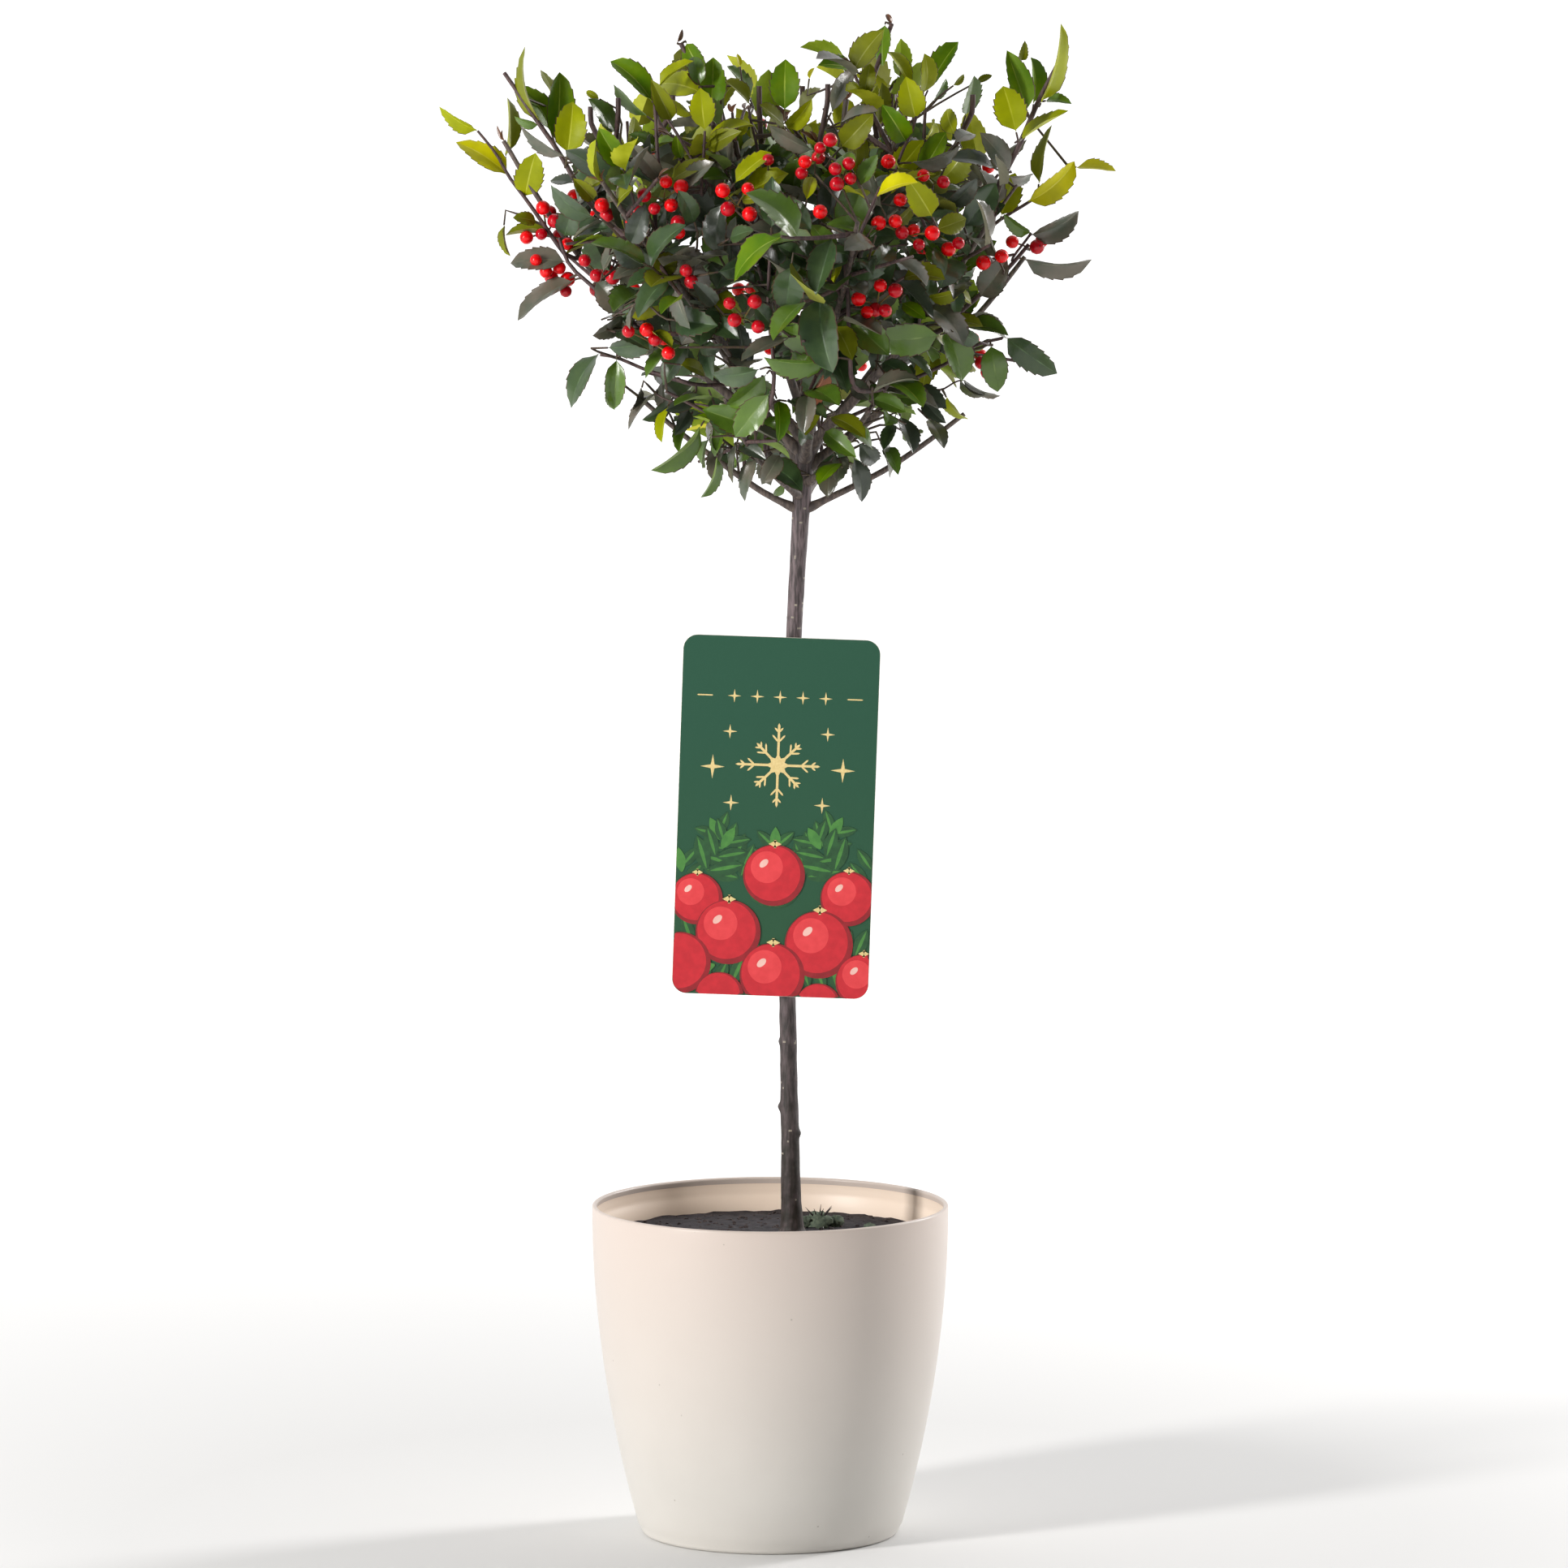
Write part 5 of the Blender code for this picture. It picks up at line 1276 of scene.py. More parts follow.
def cut_back(points, leaves):
    """A shoot cut off at its outermost leaf."""
    ahead = points[-1] - points[0]
    reach = max(np.dot(leaf.root - points[0], ahead) for leaf in leaves)
    last = next(leaf.root for leaf in leaves if np.dot(leaf.root - points[0], ahead) == reach)
    inner = points[(points - points[0]) @ ahead < reach - 1e-9]
    return evened(np.concatenate([inner, [last]]), len(points))


class Space:
    """The room that each mass keeps to: nearer to its own stem than to any other, off every limb,
    and inside the crown's outline."""

    def __init__(self, plan, with_boughs=False):
        stems = [whole_limb(limb) if with_boughs else limb.stem for limb in plan]
        self.stem_starts = np.concatenate([stem[:-1] for stem in stems])
        self.stem_ends = np.concatenate([stem[1:] for stem in stems])
        self.stem_owner = np.repeat(np.arange(len(stems)), [len(stem) - 1 for stem in stems])
        limbs = [(limb.bough, limb.radii) for limb in plan] + [trunk_points()]
        self.limb_starts = np.concatenate([points[:-1] for points, _ in limbs])
        self.limb_ends = np.concatenate([points[1:] for points, _ in limbs])
        self.limb_radii = np.concatenate([np.maximum(radii[:-1], radii[1:]) for _, radii in limbs])

    def owner_of(self, point):
        """Number of the mass whose stem is nearest to a point."""
        away = nearest(point[None], self.stem_starts, self.stem_ends)[0]
        return self.stem_owner[np.argmin(away)]

    def holds(self, points, owner, margin=0.0):
        """Whether all the points lie in the owner's room, or no further past the outline than a margin."""
        middle = np.interp(points[:, 2], CROWN_HEIGHTS, CROWN_MIDDLES)
        reach = np.hypot(points[:, 0] - middle, points[:, 1])
        if (reach > np.interp(points[:, 2], CROWN_HEIGHTS, CROWN_RADII) + margin).any():
            return False
        if points[:, 2].min() < CROWN_HEIGHTS[0] or points[:, 2].max() > CROWN_HEIGHTS[-1] + margin:
            return False
        away = nearest(points, self.stem_starts, self.stem_ends)
        own = away[:, self.stem_owner == owner].min(axis=1)
        other = away[:, self.stem_owner != owner].min(axis=1)
        if (own + LEAF_CLEAR > other).any():
            return False
        off = nearest(points, self.limb_starts, self.limb_ends) - self.limb_radii[None]
        return bool((off > LIMB_CLEAR).all())


def side_way(way, turn, spread):
    """A direction that leans out from a line by the spread, turned about it."""
    across = unit(np.cross(way, (0.31, 0.11, 0.94)))
    return unit(way * math.cos(spread) + spun(across, way, turn) * math.sin(spread))


def line_spots(line, first, step, end=0.0):
    """Points and directions at even steps along a line, up to its end or short of it."""
    lengths = np.linalg.norm(np.diff(line, axis=0), axis=1)
    ends = np.concatenate([[0], np.cumsum(lengths)])
    for distance in np.arange(first, ends[-1] - end, step):
        piece = min(int(np.searchsorted(ends, distance, side="right")) - 1, len(lengths) - 1)
        way = (line[piece + 1] - line[piece]) / lengths[piece]
        yield line[piece] + way * (distance - ends[piece]), way, distance / ends[-1]


def leaf_frame(direction, place, roll):
    """The blade's face looks up and out of the crown, rolled a little, square to its direction."""
    out = unit(np.array((place[0] - CROWN_MIDDLES[3], place[1], 0.0001)))
    face = 0.75 * UP + 0.65 * out
    face = spun(unit(face - direction * np.dot(face, direction)), direction, roll)
    return face, np.cross(face, direction)


SAMPLE_SHARES = np.repeat((0.12, 0.28, 0.46, 0.64, 0.82, 1.0), 5)
SAMPLE_WIDTHS = np.repeat((0.5, 0.88, 0.95, 0.80, 0.45, 0.0), 5) * np.tile((-1, -0.5, 0, 0.5, 1), 6)


def seen(points):
    """Where points appear to the camera, on the upright plane through the trunk's foot."""
    share = EYE[1] / (EYE[1] - points[:, 1:2])
    return EYE + (points - EYE) * share


def in_middle(points):
    """Whether all the points appear inside the crown's closed middle."""
    flat = seen(points)
    heights, left, right = CLOSED_MIDDLE.T
    inside = (flat[:, 0] > np.interp(flat[:, 2], heights, left)) & (flat[:, 0] < np.interp(flat[:, 2], heights, right))
    return bool((inside & (flat[:, 2] > heights[0]) & (flat[:, 2] < heights[-1])).all())


def leaf_samples(leaf):
    """A grid of points over a leaf, to test its room."""
    drop = LEAF_ARCH * leaf.length * SAMPLE_SHARES**2
    along = leaf.direction * (leaf.length * SAMPLE_SHARES)[:, None]
    across = leaf.side * (leaf.width / 2 * SAMPLE_WIDTHS)[:, None]
    return leaf.root + along + across - leaf.face * drop[:, None]


Leaf = namedtuple("Leaf", "root direction face side length width tone")
Line = namedtuple("Line", "points radii order mood parent")
Berry = namedtuple("Berry", "foot middle window")


def out_share(place):
    """How far out a place lies, as a share of the crown's radius there."""
    middle = np.interp(place[2], CROWN_HEIGHTS, CROWN_MIDDLES)
    return math.hypot(place[0] - middle, place[1]) / np.interp(place[2], CROWN_HEIGHTS, CROWN_RADII)


def light_at(place):
    """How much light a leaf gets: full at the crown's top and at its upper outer edge."""
    top = np.clip((place[2] - 0.822) / 0.050, 0, 1)
    edge = np.clip((out_share(place) - 0.75) / 0.2, 0, 1) * np.clip((place[2] - 0.80) / 0.05, 0, 1)
    return float(max(top, edge))


# Shares of the tones for leaves in the light, in the shade, at the shaded edge, on young yellow shoots and
# low in the crown
TONE_SHARES = {
    "light": {"bright": 0.40, "rounded": 0.20, "olive": 0.18, "lime": 0.05, "mid": 0.10, "grey": 0.07},
    "shade": {"deep": 0.38, "dark": 0.22, "mid": 0.20, "grey": 0.13, "olive": 0.04, "bright": 0.03},
    "edge": {"grey": 0.42, "deep": 0.28, "mid": 0.18, "olive": 0.08, "bright": 0.04},
    "young": {"lime": 0.55, "rounded": 0.30, "bright": 0.15},
    "low": {"mid": 0.44, "grey": 0.18, "deep": 0.22, "bright": 0.10, "olive": 0.06},
}


def deal_tone(place, mood, chance):
    """A leaf's tone, by its light, its spray's mood and chance."""
    share = 0.03 + 0.92 * light_at(place) + 0.22 * (mood - 0.5)
    if mood > 1.5:
        kind = "young"
    elif chance.random() < share:
        kind = "light"
    elif place[2] < 0.72:
        kind = "low"
    else:
        kind = "edge" if mood < 0 or out_share(place) > 0.75 else "shade"
    shares = TONE_SHARES[kind]
    return chance.choices(list(shares), list(shares.values()))[0]


class Mass:
    """One mass of foliage: a stem, its twigs and twiglets, and their leaves."""

    def __init__(self, owner, limb, space, wide_space, windows):
        self.owner = owner
        self.windows = windows
        self.ring = limb.ring
        self.limb = limb
        self.stem = limb.stem
        self.space = space
        self.wide_space = wide_space
        self.chance = limb.chance
        self.fine = random.Random(FINE_SEED + owner)
        self.lines = [Line(limb.stem, STEM_RADII, 0, None, None)]
        self.leaves = []
        self.spots = []
        self.feet = np.zeros((0, 3))
        self.fronts = np.zeros((0, 2))

    def add_twigs(self):
        """Side twigs up the stem by the golden angle, each cut back until it has room."""
        turn = self.chance.uniform(0, math.tau)
        for index in range(self.ring.twigs):
            share = 0.10 + 0.76 * index / (self.ring.twigs - 1)
            spots = list(line_spots(self.stem, share * self.ring.stem_length * 0.95, 1.0, 0.0078))
            turn += GOLDEN_ANGLE
            if spots:
                self.add_twig(spots[0], share, turn)

    def add_twig(self, spot, share, turn):
        """One side twig, at the nearest turn and length that has room."""
        point, way, _ = spot
        length = TWIG_LENGTH * (1.1 - 0.35 * share) * self.chance.uniform(0.9, 1.1)
        for shorter in (1.0, 0.8, 0.62):
            for extra in (0, 0.5, -0.5, 1.0, -1.0):
                lean = side_way(way, turn + extra, TWIG_SPREAD)
                lean = unit(lean - self.ring.droop * 0.4 * UP)
                twig = np.array((point, point + lean * length * shorter))
                if self.space.holds(twig[1:], self.owner):
                    self.lines.append(Line(twig, TWIG_RADII, 1, None, None))
                    return

    def add_shoots(self):
        """Long shoots from the stem out to the tips that lie nearest to this mass, by the solids' rule."""
        for tip, mood in shoot_tips():
            if self.space.owner_of(tip) != self.owner:
                continue
            spots = [point for point, _, _ in line_spots(self.stem, SHOOT_FOOT_STEP, SHOOT_FOOT_STEP, 0.0078)]
            base = min(spots, key=lambda point: np.linalg.norm(tip - point))
            tests = base + (tip - base) * np.linspace(0, 1, SHOOT_TESTS)[1:, None]
            if self.space.holds(tests, self.owner, SHOOT_MARGIN):
                sag = (base + tip) / 2 - SHOOT_BEND * np.linalg.norm(tip - base) * UP
                shoot = rounded(np.array((base, sag, tip)), 2, 9)
                self.lines.append(Line(shoot, SHOOT_RADII, 3, mood, None))

    def add_twiglets(self):
        """Finer twigs at even steps along the bough's outer half, the stem, the twigs and the shoots,
        where they have room."""
        bough = rounded(self.limb.bough, 1, 7)
        sources = [Line(bough[3:], STEM_RADII, 0, None, None)] + self.lines
        for line in sources:
            turn = self.fine.uniform(0, math.tau)
            for point, way, share in line_spots(line.points, TWIGLET_STEP * 0.8, TWIGLET_STEP, 0.008):
                turn += GOLDEN_ANGLE
                length = TWIGLET_LENGTH * self.fine.uniform(0.7, 1.25)
                lean = unit(side_way(way, turn, 0.85) - self.ring.droop * 0.3 * UP)
                tip = point + lean * length
                if line.order < 3 and self.wide_space.holds(tip[None], self.owner):
                    middle = (point + tip) / 2 + 0.06 * length * UP
                    twiglet = np.array((point, middle, tip))
                    self.lines.append(Line(twiglet, TWIGLET_RADII, 2, line.mood, line))

    def add_leaves(self):
        """Leaves at even steps along every line, and three at each tip. They stand steeper in the light,
        and the last two on a lit shoot are small and bronze. A line that carries no leaf is dropped."""
        kept = []
        for line in sorted(self.lines, key=lambda line: (line.order != 3, -line.order)):
            before = len(self.leaves)
            mood = self.fine.random() if line.mood is None else line.mood
            turn = self.fine.uniform(0, math.tau)
            step = {2: TWIGLET_LEAF_STEP, 3: 0.0125}.get(line.order, LEAF_STEP)
            steep = 1 - 0.35 * light_at(line.points[-1])
            length = np.linalg.norm(line.points[-1] - line.points[0])
            bare = 0.25 if line.mood == FRONT_SHOOT_MOOD else 0.42
            first = bare * length if line.order == 3 else step * 0.9
            for point, way, share in line_spots(line.points, first, step, 0.0078):
                turn += GOLDEN_ANGLE
                self.add_leaf(point, way, turn, math.radians(72 - 22 * share) * steep, line, mood)
            way = unit(line.points[-1] - line.points[-2])
            for step in range(3):
                turn += GOLDEN_ANGLE
                tip = line.points[-1] - way * 0.0026 * (step + 0.5)
                self.add_leaf(tip, way, turn, math.radians(14 + 20 * step), line, mood)
            carries = (nearest(self.feet, line.points[:-1], line.points[1:]) < 0.0001).any()
            if line.order == 3 and len(self.leaves) > before and not carries:
                line = line._replace(points=cut_back(line.points, self.leaves[before:]))
            if len(self.leaves) > before or carries or line.order == 0 or any(other.parent is line for other in kept):
                kept.append(line)
                if line.order != 2 and light_at(line.points[-1]) > 0.5:
                    for lean in (0.0, 2.4):
                        self.add_bud(line.points[-1], way, turn + lean)
        self.lines = kept

    def add_bud(self, point, way, turn):
        """A folded young leaf at the tip of a shoot."""
        direction = side_way(way, turn, 0.28)
        face, side = leaf_frame(direction, point, 0.0)
        length = self.fine.uniform(0.008, 0.013)
        self.leaves.append(Leaf(point, direction, face, side, length, length * 0.34, "bronze"))

    def leaf_length(self, point, order):
        """Leaves are longest a third of the way up the crown, and shorter on twiglets."""
        size = np.interp(point[2], LEAF_HEIGHTS, LEAF_LENGTHS)
        return size * (0.88 if order == 2 else 1.0) * self.fine.uniform(0.80, 1.15)

    def add_leaf(self, point, way, turn, spread, line, mood):
        """One leaf, turned on in steps until it has room, or left out. Towards the crown's top and its
        edge more are left out, so that the sky shows between the shoots."""
        full = self.leaf_length(point, line.order)
        shell = max(np.clip((0.712 - point[2]) / 0.02, 0, 2.4), np.clip((out_share(point) - 0.66) / 0.3, 0, 1), np.clip((point[2] - 0.845) / 0.05, 0, 1))
        if line.order < 3 and self.fine.random() < 0.25 * shell:
            return
        margin = SHOOT_MARGIN if line.order == 3 else 0.0
        roll = self.fine.uniform(-LEAF_ROLL, LEAF_ROLL)
        for shorter in (1.0, 0.72):
            length = full * shorter
            width = length * LEAF_WIDTH_SHARE * self.fine.uniform(0.9, 1.12)
            for step in range(6):
                direction = side_way(way, turn + step * LEAF_TURN, spread)
                direction = unit(direction - self.ring.droop * UP)
                face, side = leaf_frame(direction, point, roll)
                leaf = Leaf(point, direction, face, side, length, width, None)
                spots = leaf_samples(leaf)
                fits = in_middle(spots) or (line.order == 3 and self.is_behind(leaf))
                fits = fits and self.wide_space.holds(spots, self.owner, margin)
                if fits and self.is_free(spots):
                    tone = deal_tone(point + direction * length / 2, mood, self.fine)
                    self.leaves.append(leaf._replace(tone=tone))
                    self.spots.append(spots[5:])
                    return

    def is_behind(self, leaf):
        """Whether a leaf stands about where the camera sees a leaf of the front."""
        middle = seen((leaf.root + leaf.direction * leaf.length / 2)[None])[:, ::2]
        return bool((np.linalg.norm(self.fronts - middle, axis=1) < HIDDEN_REACH).any())

    def is_free(self, spots):
        """Whether a leaf stays off the leaves already there, and out of the berries' light."""
        if self.windows and (nearest(spots, *self.windows[0]) < BERRY_WINDOW).any():
            return False
        if not self.spots:
            return True
        there = np.concatenate(self.spots)
        away = np.linalg.norm(spots[5:, None] - there[None], axis=2)
        return bool(away.min() > LEAF_APART)


# Leaves as meshes: rows from the stalk to the tip, with a small spine where a wide row is
# followed closely by a narrower one
ROW_SHARES = np.array((0.05, 0.12, 0.20, 0.27, 0.34, 0.365, 0.46, 0.485, 0.59, 0.615, 0.72, 0.745, 0.83, 0.90))
ROW_TEETH = np.array((0.0, 0.0, 0.0, -0.2, 0.8, -0.4, 1.0, -0.4, 1.0, -0.4, 1.0, -0.4, 0.9, -0.8))
TOP_COLUMNS = np.array((-1.0, -0.94, -0.5, -0.05, 0.05, 0.5, 0.94, 1.0))
MARGIN = 3


def leaf_net():
    """Faces of one leaf and what each one is: 0 upper side, 1 rib, 2 underside, 3 margin. The points are
    the root, fourteen rows of eight upper points and one under the rib, and the tip."""
    rows, top_count = len(ROW_SHARES), len(TOP_COLUMNS)
    index = 1 + np.arange(rows * (top_count + 1)).reshape(rows, top_count + 1)
    top, keel = index[:, :top_count], index[:, top_count]
    upper = np.stack([top[:-1, :-1], top[1:, :-1], top[1:, 1:], top[:-1, 1:]], axis=-1).reshape(-1, 4)
    left = np.stack([top[:-1, 0], keel[:-1], keel[1:], top[1:, 0]], axis=-1)
    right = np.stack([keel[:-1], top[:-1, -1], top[1:, -1], keel[1:]], axis=-1)
    tip = 1 + index.size
    strips = top_count - 1
    heel = np.stack([np.zeros(strips, int), top[0, :-1], top[0, 1:]], axis=-1)
    point = np.stack([top[-1, :-1], np.full(strips, tip), top[-1, 1:]], axis=-1)
    below = np.array(
        (
            (0, keel[0], top[0, 0]), (0, top[0, -1], keel[0]),
            (top[-1, 0], keel[-1], tip), (keel[-1], top[-1, -1], tip),
        )
    )
    across = np.array((MARGIN, 0, 0, 1, 0, 0, MARGIN))
    under = np.full(2 * (rows - 1), 2)
    kinds = np.concatenate([np.tile(across, rows - 1), under, across, across, np.full(4, 2)])
    return [upper, left, right, heel, point, below], kinds


def leaf_points(leaves, seed):
    """All leaves at once. Along a leaf the blade bends away from its face on a circle, so the way run is
    the sine and the drop one less the cosine of the bend so far. Its half width is a power of the sine of
    pi times a power of the way run, narrowed to a stalk at the root. Across it, each half rises by the
    fold, bulges between rib and edge, and waves a little along the edge."""
    chance = np.random.default_rng(seed)
    count = len(leaves)
    root, ahead, face, side = (np.array([getattr(leaf, key) for leaf in leaves])
                               for key in ("root", "direction", "face", "side"))
    length = np.array([leaf.length for leaf in leaves])[:, None]
    width = np.array([leaf.width for leaf in leaves])[:, None]
    bend = chance.uniform(0.10, 0.95, (count, 1))
    fold = chance.uniform(0.18, 0.68, (count, 1))
    teeth = chance.uniform(0.050, 0.110, (count, 1))
    phase = chance.uniform(0, math.tau, (count, 1))
    swing = chance.uniform(-0.08, 0.08, (count, 1))
    fullest = chance.uniform(0.70, 0.98, (count, 1))
    sharp = chance.uniform(0.62, 0.85, (count, 1))

    def course(share):
        run = length * np.sin(bend * share) / bend
        drop = length * (1 - np.cos(bend * share)) / bend
        aside = swing * length * share**2
        middle = (root[:, None] + ahead[:, None] * run[..., None] - face[:, None] * drop[..., None]
                  + side[:, None] * aside[..., None])
        lean = (bend * share)[..., None]
        normal = face[:, None] * np.cos(lean) + ahead[:, None] * np.sin(lean)
        onward = ahead[:, None] * np.cos(lean) - face[:, None] * np.sin(lean)
        return middle, normal, onward

    share = np.broadcast_to(ROW_SHARES, (count, len(ROW_SHARES)))
    middle, normal, onward = course(share)
    swell = np.sin(math.pi * share**fullest) ** sharp * np.clip((share - 0.035) / 0.13, 0.12, 1.0)
    half = (width / 2 * swell * (1 + teeth * ROW_TEETH))[..., None]
    v = TOP_COLUMNS[None, None]
    level = np.abs(v)
    ripple = 0.018 * length[..., None] * np.sin(7.5 * share[..., None] + phase[..., None] + 1.2 * v)
    rise = level * half * np.sin(fold)[..., None] + 0.14 * half * np.sqrt(level) * (1 - level)
    rise = rise + ripple * level**3 * (half > 0.003)
    forward = 0.9 * teeth[..., None] * half * np.clip(ROW_TEETH, 0, 1)[None, :, None] * (level > 0.9)
    top = (middle[:, :, None] + side[:, None, None] * (v * half * np.cos(fold)[..., None])[..., None]
           + normal[:, :, None] * rise[..., None] + onward[:, :, None] * forward[..., None])
    thick = LEAF_THICK * np.interp(ROW_SHARES, (0.0, 0.1, 1.0), (1.6, 1.3, 0.5))
    keel = middle - normal * thick[None, :, None]
    rows = np.concatenate([top, keel[:, :, None]], axis=2).reshape(count, -1, 3)
    tip = course(np.ones((count, 1)))[0]
    return np.concatenate([root[:, None], rows, tip], axis=1)


def add_leaves(skin, leaves, seed):
    """Put leaves into a skin, each in its tone's materials."""
    faces, kinds = leaf_net()
    tones = np.array([TONE[leaf.tone] for leaf in leaves])[:, None]
    margins = np.array([TONES[TONE[leaf.tone]].margin == "pale" for leaf in leaves])[:, None]
    slots = np.where(kinds[None] == MARGIN, len(TONES) * 3 + margins, tones * 3 + kinds[None])
    skin.add(leaf_points(leaves, seed), faces, slots)


def about_middle(points, turn, lower):
    """Points turned about the crown's upright middle line and set lower."""
    middle = np.array((CROWN_MIDDLES[-1], 0.0, 0.0))
    x, y, z = np.moveaxis(points - middle, -1, 0)
    cosine, sine = math.cos(turn), math.sin(turn)
    return middle + np.stack([x * cosine - y * sine, x * sine + y * cosine, z - lower], axis=-1)


def wood_spots(lines):
    """Close-set points along lines of wood."""
    return np.array([spot for line in lines for spot, _, _ in line_spots(line, 0.002, 0.002)])


def foot_of(point, wood):
    """The nearest point of the wood, and better one below than above."""
    away = np.linalg.norm(wood - point, axis=1) + np.clip(wood[:, 2] - point[2], 0, None)
    return wood[np.argmin(away)]


def stands(point, turn):
    """Whether what grows at a point in millimetres stands at this turn, too."""
    x, y, z = np.array(point) / 1000
    return not turn or (z > BACK_FLOOR and y < -BACK_DEPTH and abs(x - CROWN_MIDDLES[-1]) < BACK_REACH)


def front_stems(wood):
    """The front's stems, each led back to the nearest wood."""
    stems = []
    for turn, lower in FRONT_TURNS:
        for first, last, points in FRONT_STEMS:
            if stands(points[-1], turn):
                course = about_middle(np.array(points) / 1000, turn, lower)
                course = np.concatenate([[foot_of(course[0], wood)], course])
                stems.append(Line(rounded(course, 2, 16), (first / 1000, last / 1000), 3, None, None))
                wood = np.concatenate([wood, wood_spots([stems[-1].points])])
    return stems


def front_leaves():
    """The front's leaves. Each one's face looks at the viewer, but for its roll."""
    leaves = []
    for turn, lower in FRONT_TURNS:
        view = spun(TO_VIEWER, UP, turn)
        for tone, rows in FRONT_LEAVES.items():
            for row in rows:
                root, tip = about_middle(np.reshape(row[:6], (2, 3)) / 1000, turn, lower)
                if stands(row[:3], turn):
                    length = np.linalg.norm(tip - root)
                    direction = (tip - root) / length
                    face = spun(unit(view - direction * np.dot(view, direction)), direction, row[7])
                    side = np.cross(face, direction)
                    leaves.append(Leaf(root, direction, face, side, length, row[6] / 1000, tone))
    return leaves


def stalk_line(foot, end, direction):
    """A twiglet from its foot on the wood to where something grows on, and in that thing's direction."""
    bend = end - direction * 0.4 * np.linalg.norm(end - foot)
    return Line(np.array((foot, bend, end)), TWIGLET_RADII, 2, None, None)


def front_berries(wood):
    """The front's clusters: each has a twiglet from the wood, and its berries hang round the end of it.
    A berry that would touch another stands further back."""
    berries, lines = [], []
    for back, spots in FRONT_BERRIES:
        middles = [np.array((across, back, up)) / 1000 for across, up in spots]
        end = np.mean(middles, axis=0) + FRONT_FOOT
        lines.append(stalk_line(foot_of(end, wood), end, -FRONT_FOOT / 0.011))
        for middle in middles:
            while any(np.linalg.norm(middle - other.middle) < BERRY_APART for other in berries):
                middle = middle + (0, 0.001, 0)
            berries.append(Berry(end, middle, TO_VIEWER))
    return berries, lines


def build_foliage():
    """Every mass of foliage as one piece of leaves, and the crown's wood, stubs and berries."""
    plan = limb_plan()
    space = Space(plan)
    wide_space = Space(plan, with_boughs=True)
    windows = []
    masses = [Mass(owner, limb, space, wide_space, windows) for owner, limb in enumerate(plan)]
    for mass in masses:
        mass.add_twigs()
        mass.add_shoots()
        mass.add_twiglets()
    limbs = wood_spots([whole_limb(limb) for limb in plan])
    extra = front_stems(limbs)
    firm = np.concatenate([limbs, wood_spots([line.points for line in extra])])
    berries, stalks = front_berries(firm)
    extra += stalks
    berries += place_berries(masses, berries)
    starts = np.array([berry.middle for berry in berries])
    windows.append((starts, starts + 0.07 * np.array([berry.window for berry in berries])))
    leaves = front_leaves()
    samples = np.array([leaf_samples(leaf) for leaf in leaves])
    owners = np.array([space.owner_of(leaf.root + leaf.direction * leaf.length / 2) for leaf in leaves])
    feet = np.array([berry.foot for berry in berries])
    for mass in masses:
        near = nearest(samples[:, 12], mass.stem[:-1], mass.stem[1:]).min(axis=1) < 0.11
        mass.spots = list(samples[near, 5:])
        mass.feet = feet
        mass.fronts = seen(samples[:, 12])[:, ::2]
        mass.add_leaves()
    wood = [firm] + [wood_spots([line.points for line in mass.lines]) for mass in masses]
    wood = np.concatenate([spots for spots in wood if len(spots)])
    for leaf in leaves:
        foot = foot_of(leaf.root, wood)
        if np.linalg.norm(foot - leaf.root) > JOINT_CLEAR:
            extra.append(stalk_line(foot, leaf.root, leaf.direction))
    looks = leaf_materials()
    for limb, mass in zip(plan, masses):
        mine = mass.leaves + [leaf for leaf, owner in zip(leaves, owners) if owner == mass.owner]
        skin = Skin()
        add_leaves(skin, mine, 40 + mass.owner)
        skin.piece(f"{limb.name}_leaves", looks, "foliage", [f"{limb.name}_foliage"])
    build_berries(berries)
    build_wood(plan, extra + [line for mass in masses for line in mass.lines if line.order > 0])


def place_berries(masses, placed):
    """Clusters on the wood round the other sides, by chance. Each berry gets a spot near its cluster's
    foot that keeps off the others and off the wood."""
    chance = random.Random(77)
    lines = [line.points for mass in masses for line in mass.lines]
    starts = np.concatenate([line[:-1] for line in lines])
    ends = np.concatenate([line[1:] for line in lines])
    wood = np.array([spot[0] for line in lines for spot in line_spots(line, 0.004, 0.004)])
    berries = []
    feet = []
    middle = np.interp(wood[:, 2], CROWN_HEIGHTS, CROWN_MIDDLES)
    reach = np.hypot(wood[:, 0] - middle, wood[:, 1]) / np.interp(wood[:, 2], CROWN_HEIGHTS, CROWN_RADII)
    outer = wood[(reach > 0.62) & (wood[:, 2] > 0.71) & (wood[:, 2] < 0.87) & (wood[:, 1] > -0.01)]
    while len(feet) < BACK_CLUSTERS:
        foot = outer[chance.randrange(len(outer))]
        if in_middle(foot[None]) and all(np.linalg.norm(foot - other[0]) > 0.032 for other in feet):
            feet.append((foot, unit(foot - (0.01, 0.0, 0.74)), chance.randint(2, 6)))
    for foot, window, count in feet:
        made = []
        for _ in range(400):
            if len(made) == count:
                break
            off = np.array([chance.gauss(0, 1) for _ in range(3)])
            spot = foot + unit(off + 0.9 * window) * chance.uniform(0.0075, 0.0165)
            clear = nearest(spot[None], starts, ends).min() > BERRY_RADIUS + 0.0012
            apart = all(np.linalg.norm(spot - other.middle) > BERRY_APART for other in placed + berries + made)
            if clear and apart:
                made.append(Berry(foot, spot, window))
        berries += made
    return berries


BERRY_SIDES = 12


